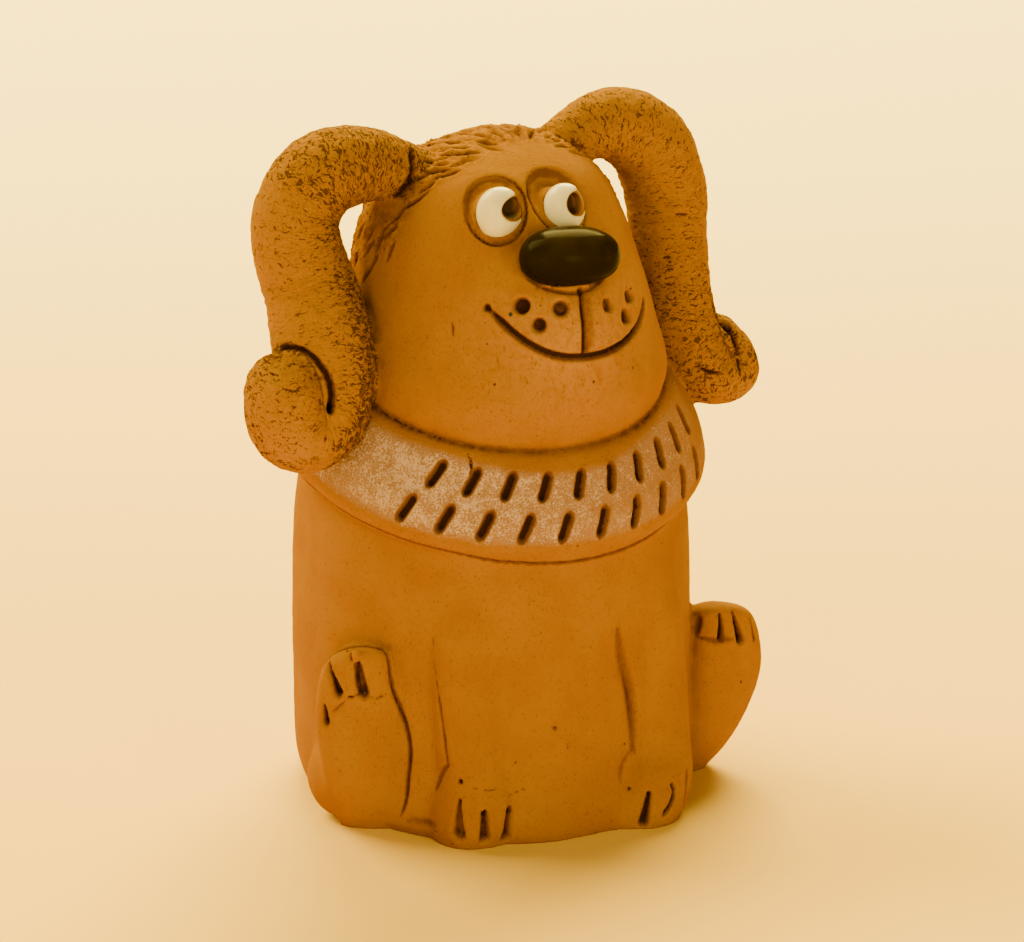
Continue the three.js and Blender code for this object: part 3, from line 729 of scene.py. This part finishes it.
def hairline(z):
    # the hair lies behind this y
    return hair["frontEdge"] + np.maximum(0, hair["edgeBends"] - z) * hair["edgeLean"]


def aboveCollar(y):
    # the hair ends above this height, where the head stands in the tilted collar
    return 56.2 + math.tan(collar["tilt"]) * y


def hairField(points, earDepth):
    # 1 where the hair is, 0 on the face, the ears and below the hair
    _, y, z = points.T
    return blendStep(y - hairline(z), -1, 1.5) * blendStep(z, 57, 61) * blendStep(earDepth, 1.1, 1.3)


def hairMarks(skin, earDepth):
    # short strokes combed back from the brow, over the crown and down the back of the head
    rng = random.Random(hair["seed"])
    crown, centre = np.array(hair["crown"]), np.array(hair["centre"])
    taken = np.empty((0, 6))
    marks = []
    for _ in range(hair["tries"]):
        turn, rise = rng.uniform(-math.pi, math.pi), math.asin(rng.uniform(-0.5, 1))
        ray = np.array([math.cos(rise) * math.cos(turn), math.cos(rise) * math.sin(turn), math.sin(rise)])
        place, _ = skin.snapped((centre + ray * 19)[None])
        point = place[0]
        if point[2] < hair["lowest"] or point[1] < hairline(point[2]) + rng.uniform(-0.6, 0.6):
            continue
        found = skin.tree.find(point)[1]
        if earDepth[found] < 1.25:
            continue
        way = point - crown
        way -= skin.normals[found] * (way @ skin.normals[found])
        way /= np.linalg.norm(way)
        if len(taken):
            off = taken[:, :3] - point
            along = (off * way).sum(1)
            across = np.linalg.norm(off - along[:, None] * way, axis=1)
            if ((abs(along) < hair["length"] * 0.55) & (across < hair["apart"] * rng.uniform(0.75, 1.1))).any():
                continue
        taken = np.vstack([taken, [*point, *way]])
        length = hair["length"] * rng.uniform(0.6, 1.15)
        line = [point]
        for _ in range(4):
            way = way + np.array([rng.uniform(-0.22, 0.22) for _ in range(3)])
            step, _ = skin.snapped((line[-1] + way * length / 4)[None])
            if step[0][2] < aboveCollar(step[0][1]):
                break
            line.append(step[0])
        if len(line) < 2:
            continue
        width, depth = hair["width"] * rng.uniform(0.75, 1.2), hair["depth"] * rng.uniform(0.5, 1.3)
        marks.append(mark(line, width, depth, rng.uniform(0.2, 0.75), lip=0.12, flat=0.05, stain=1.3))
    return marks


earCracks = {"count": 26, "seed": 5, "width": (0.22, 0.4), "depth": (0.12, 0.34), "length": (0.9, 2.4)}

# The rolls' lengths, and where the left one starts once both are pulled straight, clear of the right one.
earRun = {which: float(rollFrames(ears[which], earSteps)["run"][-1]) for which in ears}
leftEarStart = 300.0


def earMarks(rows, seed):
    # cracks that opened across the rolls when they were bent, all round them and most of them towards the roll's end
    rng = random.Random(seed)
    f = rollFrames(rows, earSteps)
    marks = []
    for _ in range(earCracks["count"]):
        at = 1 - rng.random() ** 1.6 * 0.92
        turn = rng.uniform(-math.pi, math.pi)
        i = int(np.clip(at * earSteps, 24, 294))
        length = rng.uniform(*earCracks["length"])
        line = []
        for k in range(5):
            angle = turn + (k / 4 - 0.5) * length / f["wide"][i]
            point = f["middle"][i] + f["across"][i] * f["thick"][i] * math.cos(angle)
            line.append(list(point + f["side"][i] * f["wide"][i] * math.sin(angle)))
        width, depth = rng.uniform(*earCracks["width"]), rng.uniform(*earCracks["depth"])
        marks.append(mark(line, width, depth, rng.uniform(0.7, 1.1), lip=0.02, flat=0.1, stain=1.2))
    return marks


airway = {
    "chamber": [(0.01, 6.5), (15.5, 6.5), (18.4, 9.5), (18.8, 20), (18.4, 32), (16.4, 39), (12, 45.5), (10.8, 52),
                (11.6, 60), (10.6, 67), (6.4, 72), (0.01, 73.6)],
    "windway": {"width": 7, "height": 1.5, "from": 14, "to": 42, "low": 3, "rise": 0.085},
    "window": {"from": 9.5, "to": 14.6, "edge": 2.8, "rampFrom": 3.4, "backFrom": 6.6, "floor": 7.4, "below": 1},
}


def boxForm(low, high):
    bm = bmesh.new()
    bmesh.ops.create_cube(bm, size=1)
    bmesh.ops.scale(bm, vec=Vector(high) - Vector(low), verts=bm.verts)
    return placed(bm, (Vector(low) + Vector(high)) / 2)


def chamberForm():
    return spun(airway["chamber"], steps=48, closed=False, merge=0.05)


def windowForm():
    # the opening in the underside, with the ramp whose edge splits the air
    w, half = airway["window"], airway["windway"]["width"] / 2
    outline = [(w["rampFrom"], 0), (w["rampFrom"], -w["below"]), (w["to"], -w["below"]), (w["to"], w["floor"]),
               (w["backFrom"], w["floor"]), (w["from"], w["edge"])]
    bm = bmesh.new()
    side = bm.faces.new([bm.verts.new((-half, y, z)) for y, z in outline])
    pulled = bmesh.ops.extrude_face_region(bm, geom=[side])["geom"]
    bmesh.ops.translate(bm, vec=(2 * half, 0, 0), verts=[v for v in pulled if isinstance(v, bmesh.types.BMVert)])
    return bm


def windwayForm():
    w = airway["windway"]
    half = w["width"] / 2
    bm = boxForm((-half, 0, -w["height"] / 2), (half, w["to"] - w["from"], w["height"] / 2))
    return placed(bm, (0, w["from"], w["low"]), Matrix.Rotation(w["rise"], 3, "X"))


clayMesh = {
    "voxel": 0.3, "smoothing": 3, "triangles": 172000, "unevenness": 0.32, "ground": 0.25, "underside": 0.05,
    "fineRounds": 14, "wideRounds": 90,
}

# Where the maker's finger smoothed one form into the next: a box, and how many rounds of smoothing.
fingerMarks = [
    {"low": (-8.4, -30, 3.5), "high": (-4.2, -18, 34), "rounds": 160},
    {"low": (3.6, -30, 9), "high": (7.6, -18, 34), "rounds": 50},
    {"low": (-18, -30, 27.5), "high": (18, -16, 37), "rounds": 120},
    {"low": (-2, -30, -2), "high": (8.4, -22, 4.5), "rounds": 150},
    {"low": (-36, -15, 2), "high": (-25, 6, 18), "rounds": 60},
]


def smoothWithFinger(skin):
    for touch in fingerMarks:
        low, high = np.array(touch["low"]), np.array(touch["high"])
        inside = np.minimum(skin.points - low, high - skin.points).min(1)
        weight = blendStep(inside, -1.2, 1.2)
        skin.points = skin.averaged(skin.points, touch["rounds"], weight)
    skin.refresh()


def displaced(piece, name, size, amount):
    cloud = bpy.data.textures.new(name, "CLOUDS")
    cloud.noise_scale = size * mm
    cloud.noise_depth = 1
    bend = piece.modifiers.new(name, "DISPLACE")
    bend.texture = cloud
    bend.texture_coords = "LOCAL"
    bend.strength = amount * mm
    bend.mid_level = 0.5


def makeClay():
    clay = makeRawClay()
    print("forms made:", len(clay.data.vertices), "vertices")
    remesh = clay.modifiers.new("one skin", "REMESH")
    remesh.mode = "VOXEL"
    remesh.voxel_size = clayMesh["voxel"] * mm
    smooth = clay.modifiers.new("no steps", "SMOOTH")
    smooth.factor = 0.5
    smooth.iterations = clayMesh["smoothing"]
    displaced(clay, "hand made", 9, clayMesh["unevenness"])
    displaced(clay, "grain", 1.8, clayMesh["unevenness"] * 0.3)
    applied(clay)
    return clay


def lumps(x, y, z):
    return noise.noise(Vector((x, y, z)))


def roughen(skin, depth, straight):
    # the bent rolls are coarse: small lumps, pulled wider across the roll than along it; the hair is crumbly
    for i in np.flatnonzero(depth < 1.12):
        x, y, z = straight[i]
        lump = lumps(x * 1.1, y * 0.6, z * 0.6) + 0.5 * lumps(x * 2.3, y, z)
        skin.points[i] += skin.normals[i] * 0.14 * lump
    hairy = hairField(skin.points, depth)
    for i in np.flatnonzero(hairy > 0):
        x, y, z = skin.points[i]
        lump = lumps(x * 0.7, y * 0.5, z * 0.7) + 0.7 * lumps(x * 1.5, y * 1.1, z * 1.5)
        skin.points[i] += skin.normals[i] * hair["crumbs"] * hairy[i] * lump
    skin.refresh()


def transfer(skin, piece, fields):
    # the fields of the fine skin, read at the points of the finished piece, as mesh attributes
    mesh = piece.data
    nearest = [skin.tree.find(p) for p in pointsOf(mesh)]
    found = np.array([n[1] for n in nearest])
    apart = np.array([n[2] for n in nearest])
    for name, values in fields.items():
        kept = values[found]
        if values.ndim == 1:
            kept = kept * (apart < 0.8)
        layer = mesh.attributes.new(name, "FLOAT" if values.ndim == 1 else "FLOAT_VECTOR", "POINT")
        layer.data.foreach_set("value" if values.ndim == 1 else "vector", kept.astype(np.float32).ravel())


def collarChalk(points):
    # pale chalky paint on the collar's sloping face: most at the dog's right, thinner round to its left
    out, z, angle = seenFromCollar(points)
    low, high = collar["low"], collar["high"]
    share = (z - low[1]) / (high[1] - low[1])
    off = out - (low[0] + (high[0] - low[0]) * share)
    onFace = (1 - blendStep(abs(off + 0.15), 0.9, 1.5)) * blendStep(share, -0.04, 0.16)
    up = np.interp(angle, (-45, -8, 10, 35), (1.05, 0.96, 0.98, 1.12))
    onFace *= 1 - blendStep(share, up - 0.12, up + 0.06)
    return onFace * np.interp(angle, (-180, -75, -50, -35, 10, 60, 180), (0.3, 0.75, 1, 0.92, 0.68, 0.3, 0.3))


def crackedness(right, straight, depth):
    # how cracked the rolls are: the bent stretches and the inner sides most, the flat of the lobes least
    run, front, side = straight[:, 0] - np.where(right, 0, leftEarStart), -straight[:, 1], straight[:, 2]
    share = run / np.where(right, earRun["right"], earRun["left"])
    inner = blendStep(side, -2, 3)
    onRight = 0.8 - 0.5 * blendStep(share, 0.4, 0.55)
    hanging = np.maximum(onRight * (0.3 + 0.7 * inner), inner * blendStep(share, 0.4, 0.55))
    onRight = np.where(share > 0.34, hanging, onRight)
    onRight = np.where(share > 0.82, 0.25 + 0.45 * blendStep(-front, -4, 0), onRight)
    onLeft = 0.45 - 0.15 * blendStep(share, 0.2, 0.4) + 0.35 * blendStep(share, 0.55, 0.7)
    return np.where(right, onRight, onLeft) * (1 - blendStep(depth, 1.04, 1.2))


def finishClay():
    clay = makeClay()
    skin = Skin(clay)
    print("one skin:", len(skin.points), "vertices")
    smoothWithFinger(skin)
    depths = {k: unrolled(skin.points, ears[k]) for k in ("right", "left")}
    right = depths["right"][0] < depths["left"][0]
    print("ears pulled straight, runs of", [round(v, 1) for v in earRun.values()], "mm")
    earDepth = np.where(right, depths["right"][0], depths["left"][0])
    straight = np.where(right[:, None], depths["right"][1], depths["left"][1] + np.array([leftEarStart, 0, 0]))
    roughen(skin, earDepth, straight)
    skin.carve(hairMarks(skin, earDepth))
    skin.carve(earMarks(ears["right"], earCracks["seed"]) + earMarks(ears["left"], earCracks["seed"] + 1))
    skin.carve([each for group in carving.values() for each in group] + collarMarks())
    eyeRings(skin)
    print("carved")
    skin.points[:, 2] = np.where(skin.points[:, 2] < clayMesh["ground"], 0, skin.points[:, 2])
    skin.refresh()
    soft = skin.averaged(skin.points, clayMesh["fineRounds"])
    softer = skin.averaged(soft, clayMesh["wideRounds"])
    fine = ((soft - skin.points) * skin.normals).sum(1)
    wide = ((softer - skin.points) * skin.normals).sum(1)
    x, y, z = skin.points.T
    muzzle = np.exp(-(((x - 0.5) / 11) ** 2) - ((z - 63.5) / 7.5) ** 2)
    muzzle *= (y < -12) * (1 - blendStep(z, 68.7, 69.6))
    fields = {
        "wash": np.maximum(skin.wash, jointBrown(skin.points)),
        # hollow: the fine creases, where the wash settles and where the material also darkens the clay as painted
        # shade
        "hollow": blendStep(fine, 0.04, 0.34),
        # shade: the broad hollows, such as under the collar and the chin, which the material darkens as painted shade
        "shade": blendStep(wide, 0.05, 0.7),
        "chalk": collarChalk(skin.points),
        "blush": muzzle,
        "ear": 1 - blendStep(earDepth, 0.985, 1.04),
        "cracked": crackedness(right, straight, earDepth),
        "hair": hairField(skin.points, earDepth),
        "unrolled": straight,
    }
    thin = clay.modifiers.new("fewer", "DECIMATE")
    thin.ratio = clayMesh["triangles"] / (2 * len(clay.data.polygons))
    applied(clay)
    tools = [asObject("tool", [form]) for form in (chamberForm(), windowForm(), windwayForm())]
    cutWith(clay, "DIFFERENCE", *tools, solver="MANIFOLD")
    transfer(skin, clay, fields)
    for polygon in clay.data.polygons:
        polygon.use_smooth = polygon.center.z > clayMesh["underside"] * mm
    clay.data.calc_loop_triangles()
    print("clay:", len(clay.data.loop_triangles), "triangles")
    return clay


def noseForm(grow=0.0, sides=64, rings=48):
    # a bean of glaze: flatter below than above, its left end a little higher
    bm = ball([1, 1, 1], (0, 0, 0), sides, rings)
    half = [h + grow for h in nose["half"]]
    for v in bm.verts:
        x, y, z = v.co
        x = math.copysign(abs(x) ** nose["squareness"], x)
        z = math.copysign(abs(z) ** nose["squareness"], z)
        size = (abs(x) ** nose["power"] + abs(y) ** nose["power"] + abs(z) ** nose["power"]) ** (1 / nose["power"])
        x, y, z = x / size, y / size, z / size
        if z < 0:
            z *= 1 - nose["flatBelow"] * (1 - x * x)
        v.co = (x * half[0], y * half[1], z * half[2])
    return placed(bm, nose["at"], Matrix.Rotation(-nose["tilt"], 3, "Y"))


def eyeForm(which):
    # a clay ball with a poked pupil, and a crescent of white glaze that stands a little proud
    bm = ball(eyes[which]["half"], (0, 0, 0), sides=150, rings=104)
    white = bm.verts.layers.float.new("white")
    dark = bm.verts.layers.float.new("dark")
    bareX, bareZ, bareHalf, bareHigh = eyes[which]["bare"]
    holeX, holeZ, holeHalf, holeHigh = eyes[which]["hole"]
    for v in bm.verts:
        x, y, z = v.co
        glazed = math.hypot((x - bareX) / bareHalf, (z - bareZ) / bareHigh) - 1 if y < 0.6 else 1
        aside = (x - holeX) / holeHalf
        u = math.hypot(aside, (z - holeZ) / holeHigh) if y < -0.5 else 3
        v[white] = float(glazed)
        v[dark] = float((1 - blendStep(u, 0.8, 1.04)) * (1 - 0.75 * blendStep(aside, -0.2, 0.8)))
        proud = eyes["glazeThick"] * float(blendStep(glazed, -0.02, 0.1)) * float(blendStep(-y, -0.5, 0.5))
        v.co += v.co.normalized() * proud
        v.co.y += eyes["holeDepth"] * float(1 - blendStep(u, 0.55, 1.0))
    return placed(bm, eyePlace(which))


def smoothPiece(name, form, node):
    piece = asObject(name, [form])
    for polygon in piece.data.polygons:
        polygon.use_smooth = True
    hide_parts(node)
    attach(piece, "root")
    return piece


class Wire:
    # a node's output that can be added and multiplied as a number is
    def __init__(self, finish, socket):
        self.finish, self.socket = finish, socket

    def maths(self, operation, first, second):
        return self.finish.node("ShaderNodeMath", {"operation": operation}, {0: first, 1: second})

    def __add__(self, other):
        return self.maths("ADD", self, other)

    def __sub__(self, other):
        return self.maths("SUBTRACT", self, other)

    def __rsub__(self, other):
        return self.maths("SUBTRACT", other, self)

    def __mul__(self, other):
        return self.maths("MULTIPLY", self, other)

    __radd__ = __add__
    __rmul__ = __mul__

    def step(self, low, high):
        # 0 below low, 1 above high, and smooth between; the other way round if low is the larger
        settings = {"interpolation_type": "SMOOTHSTEP"}
        return self.finish.node("ShaderNodeMapRange", settings, {"Value": self, "From Min": low, "From Max": high})


class Finish:
    # a material while its nodes are joined
    def __init__(self, name):
        self.material = bpy.data.materials.new(name)
        self.material.use_nodes = True
        self.tree = self.material.node_tree
        self.shader = self.tree.nodes["Principled BSDF"]

    def node(self, kind, settings, inputs, output=0):
        made = self.tree.nodes.new(kind)
        for key, value in settings.items():
            setattr(made, key, value)
        self.fill(made, inputs)
        return Wire(self, made.outputs[output])

    def fill(self, made, inputs):
        for key, value in inputs.items():
            if isinstance(value, Wire):
                self.tree.links.new(value.socket, made.inputs[key])
            else:
                made.inputs[key].default_value = value

    def blend(self, factor, first, second):
        # a colour between two colours
        return self.node("ShaderNodeMix", {"data_type": "RGBA"}, {0: factor, 6: first, 7: second}, 2)

    def field(self, name, output="Fac"):
        return self.node("ShaderNodeAttribute", {"attribute_name": name}, {}, output)

    def place(self, stretch=(1, 1, 1)):
        # the point on the object in millimetres
        spot = self.node("ShaderNodeTexCoord", {}, {}, "Object")
        return self.stretched(spot, [1000 * s for s in stretch])

    def stretched(self, vector, by):
        return self.node("ShaderNodeVectorMath", {"operation": "MULTIPLY"}, {0: vector, 1: by})

    def noise(self, vector, size, detail=2.0, roughness=0.5):
        # size is how large the features are, in the vector's units
        inputs = {"Vector": vector, "Scale": 1 / size, "Detail": detail, "Roughness": roughness}
        return self.node("ShaderNodeTexNoise", {}, inputs)

    def most(self, first, *others):
        for other in others:
            first = self.node("ShaderNodeMath", {"operation": "MAXIMUM"}, {0: first, 1: other})
        return first

    def bump(self, height, depth):
        bend = self.node("ShaderNodeBump", {}, {"Height": height, "Distance": depth * mm}, "Normal")
        self.fill(self.shader, {"Normal": bend})


def opaque(r, g, b):
    return (r, g, b, 1)


clayLook = {
    "ochre": opaque(0.25, 0.111, 0.0008), "warm": opaque(0.232, 0.097, 0.0006), "dusty": opaque(0.25, 0.122, 0.002),
    "pale": opaque(0.31, 0.155, 0.042), "roll": opaque(0.27, 0.124, 0.001),
    "thinWashAndShade": opaque(0.108, 0.041, 0.002), "deepWashAndShade": opaque(0.024, 0.0095, 0.0012),
    "chalkBase": opaque(0.255, 0.145, 0.13), "chalk": opaque(0.5, 0.37, 0.5), "sparkle": opaque(0.9, 0.76, 0.95),
    "drip": opaque(0.03, 0.035, 0.055), "dripAt": (-7.4, -20.8, 66.8),
    "grain": 0.35, "roughness": 0.8, "specular": 0.02, "tint": opaque(1, 0.6, 0.2),
}


def clayMaterial():
    look = clayLook
    f = Finish("fired clay")
    place = f.place()
    wash, hollow, shade, chalk, blush, ear, cracked, hairy = (
        f.field(name) for name in ("wash", "hollow", "shade", "chalk", "blush", "ear", "cracked", "hair"))
    colour = f.blend(f.noise(place, 7, 3).step(0.36, 0.66), look["ochre"], look["warm"])
    streaks = f.noise(f.place((1, 1, 0.35)), 2.6, 4, 0.6)
    colour = f.blend(streaks.step(0.52, 0.78) * 0.5, colour, look["dusty"])
    rubbed = f.noise(place, 1.1, 4, 0.65)
    colour = f.blend(ear * 0.8, colour, look["roll"])
    colour = f.blend(blush * rubbed.step(0.25, 0.6) * 0.9, colour, look["pale"])
    grain = f.noise(place, look["grain"], 3, 0.6)
    colour = f.blend(grain.step(0.5, 0.75) * 0.16, colour, look["thinWashAndShade"])

    # chalky paint with glitter in it, rubbed on so that it caught on the collar's grain
    speck = f.noise(place, 0.25, 3, 0.65)
    caught = f.noise(place, 1.4, 4, 0.6)
    bare = wash.step(0.5, 0.12)
    painted = (speck + caught * 0.5 + chalk * 0.3).step(0.95, 1.1) * chalk.step(0.1, 0.3) * bare
    colour = f.blend(chalk.step(0.05, 0.7) * (0.5 + bare * 0.4), colour, look["chalkBase"])
    colour = f.blend(painted * 0.75, colour, look["chalk"])
    # the glitter's sparkle is painted into the colour as bright specks: painted glints
    glitter = f.noise(f.place((1.9, 1.9, 1.9)), 0.24, 2, 0.6)
    glint = (glitter + chalk * 0.08).step(0.72, 0.77) * bare * chalk.step(0.1, 0.3)
    colour = f.blend(glint * 0.9, colour, look["sparkle"])

    # cracks across the rolls of the ears
    pulled = f.field("unrolled", "Vector")
    warp = f.node("ShaderNodeTexNoise", {}, {"Vector": pulled, "Scale": 0.9, "Detail": 4}, "Color")
    bent = f.node("ShaderNodeVectorMath", {"operation": "MULTIPLY_ADD"}, {0: warp, 1: (1.5, 2.4, 2.4), 2: pulled})
    wideCell = {"Vector": f.stretched(bent, (1.0, 0.3, 0.3)), "Scale": 0.95}
    edge = f.node("ShaderNodeTexVoronoi", {"feature": "DISTANCE_TO_EDGE"}, wideCell)
    broken = f.noise(f.stretched(pulled, (1, 0.55, 0.55)), 0.85, 2, 0.6)
    crack = edge.step(0.05, 0.012) * (broken + cracked.step(0.75, 1) * 0.3).step(0.72, 0.8)
    dashes = f.noise(f.stretched(bent, (4.6, 1.1, 1.1)), 1.0, 2, 0.55)
    dash = (dashes + cracked * 0.15).step(0.65, 0.695) * ear
    speckle = (f.noise(f.stretched(pulled, (1.6, 1, 1)), 0.4, 3, 0.65) + cracked * 0.06).step(0.62, 0.74) * ear
    crumbs = f.noise(f.place((1, 0.6, 1)), 0.7, 3, 0.65).step(0.6, 0.68) * hairy
    crack = f.most(crack * ear, dash * 0.85, speckle * 0.5, crumbs * 0.7)

    # pinholes, and short upright flecks on the face
    holes = f.node("ShaderNodeTexVoronoi", {}, {"Vector": place, "Scale": 0.42})
    size = f.noise(place, 1.3, 1).step(0.45, 0.75)
    pinhole = (holes - size * 0.09).step(0.03, 0.0) * chalk.step(0.5, 0.1)
    fleck = f.noise(f.place((1.7, 1.7, 0.7)), 0.5, 2, 0.6).step(0.66, 0.745) * (blush * 0.4 + 0.5)
    dust = f.noise(place, 0.24, 2, 0.6).step(0.64, 0.72)
    dark = f.noise(place, 0.6, 3, 0.7)
    # the wash left in the marks, plus painted shade in the fine creases, a little more over the hair, and noise
    washedAndShaded = wash + hollow * 0.42 + hairy * 0.1 + (dark - 0.5) * 0.4
    thin = washedAndShaded.step(0.12, 0.62)
    deep = washedAndShaded.step(0.72, 1.12)
    # painted shade in the broad hollows, less of it on the ears
    colour = f.blend(shade * (0.35 - ear * 0.2), colour, look["thinWashAndShade"])
    # brown mottling over the hair: painted shade for the darker side of the head under the ears, spread over all the
    # hair
    colour = f.blend(f.noise(place, 2.2, 4, 0.7).step(0.42, 0.62) * hairy * 0.5, colour, look["thinWashAndShade"])
    colour = f.blend(thin * 0.92, colour, look["thinWashAndShade"])
    marks = f.most(crack, pinhole * 0.85, fleck * 0.7, dust * 0.45, deep)
    colour = f.blend(marks * 0.93, colour, look["deepWashAndShade"])
    toDrip = f.node("ShaderNodeVectorMath", {"operation": "DISTANCE"}, {0: place, 1: look["dripAt"]}, "Value")
    colour = f.blend(toDrip.step(0.36, 0.22), colour, look["drip"])
    f.fill(f.shader, {"Base Color": colour, "Roughness": look["roughness"] + painted * -0.25,
                      "Specular IOR Level": look["specular"], "Specular Tint": look["tint"]})
    rough = f.noise(f.stretched(pulled, (1.5, 0.8, 0.8)), 0.8, 3, 0.6) * ear
    f.bump(grain * 0.4 + rubbed * 0.45 + streaks * 0.5 - marks * 0.8 + painted * 0.2 + rough * 2, 0.15)
    return f.material


noseLook = {
    "glaze": opaque(0.009, 0.006, 0.003), "olive": opaque(0.022, 0.015, 0.003), "bubble": opaque(0.09, 0.06, 0.03),
}


def noseMaterial():
    f = Finish("dark glaze")
    place = f.place()
    height = f.node("ShaderNodeSeparateXYZ", {}, {"Vector": place}, "Z")
    # the glaze painted lighter olive in patches towards its top: a painted sheen of the light from above
    litTopPatches = (height - nose["at"][2]).step(-1.5, 3.4) * f.noise(place, 4.5, 2).step(0.3, 0.65)
    colour = f.blend(litTopPatches, noseLook["glaze"], noseLook["olive"])
    bubbles = f.node("ShaderNodeTexVoronoi", {}, {"Vector": place, "Scale": 0.75})
    colour = f.blend(bubbles.step(0.06, 0.03) * 0.7, colour, noseLook["bubble"])
    f.fill(f.shader, {"Base Color": colour, "Roughness": 0.14 + f.noise(place, 2, 2) * 0.06, "IOR": 1.45,
                      "Specular IOR Level": 0.009})
    f.bump(f.noise(place, 3.5, 2) * 0.6 + bubbles.step(0.08, 0.02) * 0.2, 0.05)
    return f.material


eyeLook = {"white": opaque(0.7, 0.66, 0.66), "thinGlaze": opaque(0.5, 0.37, 0.24)}


def eyeMaterial():
    f = Finish("white glaze on clay")
    place = f.place()
    white, dark = f.field("white"), f.field("dark")
    wobble = f.noise(place, 1.2, 2) - 0.5
    glazed = (white + wobble * 0.1).step(-0.02, 0.03)
    clay = f.blend(f.noise(place, 1.2, 3).step(0.4, 0.6), clayLook["ochre"], clayLook["warm"])
    clay = f.blend((white + wobble * 0.2).step(-0.75, -0.2) * 0.5, clay, clayLook["thinWashAndShade"])
    clay = f.blend((dark + wobble * 0.2).step(0.0, 0.4) * 0.9, clay, clayLook["thinWashAndShade"])
    clay = f.blend((dark + wobble * 0.2).step(0.35, 0.85) * 0.95, clay, clayLook["deepWashAndShade"])
    glass = f.blend((white + wobble * 0.05).step(0.12, 0.0) * 0.5, eyeLook["white"], eyeLook["thinGlaze"])
    f.fill(f.shader, {"Base Color": f.blend(glazed, clay, glass), "Roughness": 0.8 - glazed * 0.62,
                      "Specular IOR Level": 0.3})
    f.bump(f.noise(place, 0.5, 3) * (1 - glazed), 0.1)
    return f.material


def dress(piece, material):
    piece.data.materials.clear()
    piece.data.materials.append(material)


clay = finishClay()
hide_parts("clay_body")
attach(clay, "root")
dress(clay, clayMaterial())

muzzleTip = smoothPiece("nose_glazed", noseForm(sides=96, rings=72), "nose")
dress(muzzleTip, noseMaterial())
glazedEyes = eyeMaterial()
for which in ("right", "left"):
    dress(smoothPiece("eye_glazed_" + which, eyeForm(which), "eye_" + which), glazedEyes)
print("glazed pellets made")

view = {"azimuth": -26, "elevation": 18, "distance": 650, "target": (0, 0, 40), "aside": 2.6, "focalPixels": 5200}
light = {
    "backRight": {"at": (0.5, 0.75, 0.9), "size": 0.8, "power": 71, "colour": (1, 0.735, 0.16)},
    "backLeft": {"at": (-0.5, 0.8, 0.95), "size": 0.8, "power": 47, "colour": (1, 0.735, 0.16)},
    "frontLeft": {"at": (-0.9, -0.7, 0.6), "size": 0.9, "power": 9, "colour": (1, 0.74, 0.18)},
    "lowLeft": {"at": (-0.9, -0.8, 0.24), "size": 0.42, "power": 4, "colour": (1, 0.74, 0.18)},
    "lowFront": {"at": (0.25, -1.2, 0.24), "size": 0.42, "power": 13, "colour": (1, 0.74, 0.18)},
}
# The floor's paper runs from darker and more orange at the front to pale behind: painted shade where the lamps' light
# falls off towards the front.
surroundings = {
    "sky": 0.04, "skyColour": opaque(1, 0.74, 0.18), "shadedNearPaper": opaque(0.88, 0.58, 0.1),
    "farPaper": opaque(0.86, 0.75, 0.5), "paperFrom": -0.07, "paperTo": 0.4,
}


def addCamera():
    a, e = math.radians(view["azimuth"]), math.radians(view["elevation"])
    back = Vector((math.sin(a) * math.cos(e), -math.cos(a) * math.cos(e), math.sin(e)))
    right = Vector((math.cos(a), math.sin(a), 0))
    lens = bpy.data.cameras.new("camera")
    lens.sensor_width = 36
    lens.lens = view["focalPixels"] * 36 / 1024
    lens.clip_end = 10
    camera = bpy.data.objects.new("camera", lens)
    camera.location = (Vector(view["target"]) + right * view["aside"] + back * view["distance"]) * mm
    camera.rotation_euler = back.to_track_quat("Z", "Y").to_euler()
    bpy.context.scene.collection.objects.link(camera)
    bpy.context.scene.camera = camera


def addLight(name):
    lamp = bpy.data.lights.new(name, "AREA")
    lamp.size = light[name]["size"]
    lamp.energy = light[name]["power"]
    lamp.color = light[name]["colour"]
    at = Vector(light[name]["at"])
    holder = bpy.data.objects.new(name, lamp)
    holder.location = at
    holder.rotation_euler = (at - Vector((0, 0, 0.04))).to_track_quat("Z", "Y").to_euler()
    bpy.context.scene.collection.objects.link(holder)


def addFloor():
    bm = bmesh.new()
    bmesh.ops.create_grid(bm, x_segments=1, y_segments=1, size=3)
    mesh = bpy.data.meshes.new("floor")
    bm.to_mesh(mesh)
    bm.free()
    floor = bpy.data.objects.new("floor", mesh)
    bpy.context.scene.collection.objects.link(floor)
    paper = Finish("paper")
    # painted shade: the paper darker and more orange towards the front
    spot = paper.node("ShaderNodeTexCoord", {}, {}, "Object")
    back = paper.node("ShaderNodeVectorMath", {"operation": "DOT_PRODUCT"}, {0: spot, 1: (0.44, 0.9, 0)}, "Value")
    back = back.step(surroundings["paperFrom"], surroundings["paperTo"])
    colour = paper.blend(back, surroundings["shadedNearPaper"], surroundings["farPaper"])
    paper.fill(paper.shader, {"Base Color": colour, "Roughness": 0.9, "Specular IOR Level": 0.1})
    mesh.materials.append(paper.material)


addCamera()
for name in light:
    addLight(name)
world = bpy.context.scene.world or bpy.data.worlds.new("world")
bpy.context.scene.world = world
world.use_nodes = True
world.node_tree.nodes["Background"].inputs["Color"].default_value = surroundings["skyColour"]
world.node_tree.nodes["Background"].inputs["Strength"].default_value = surroundings["sky"]
addFloor()
print("camera, light and floor set")
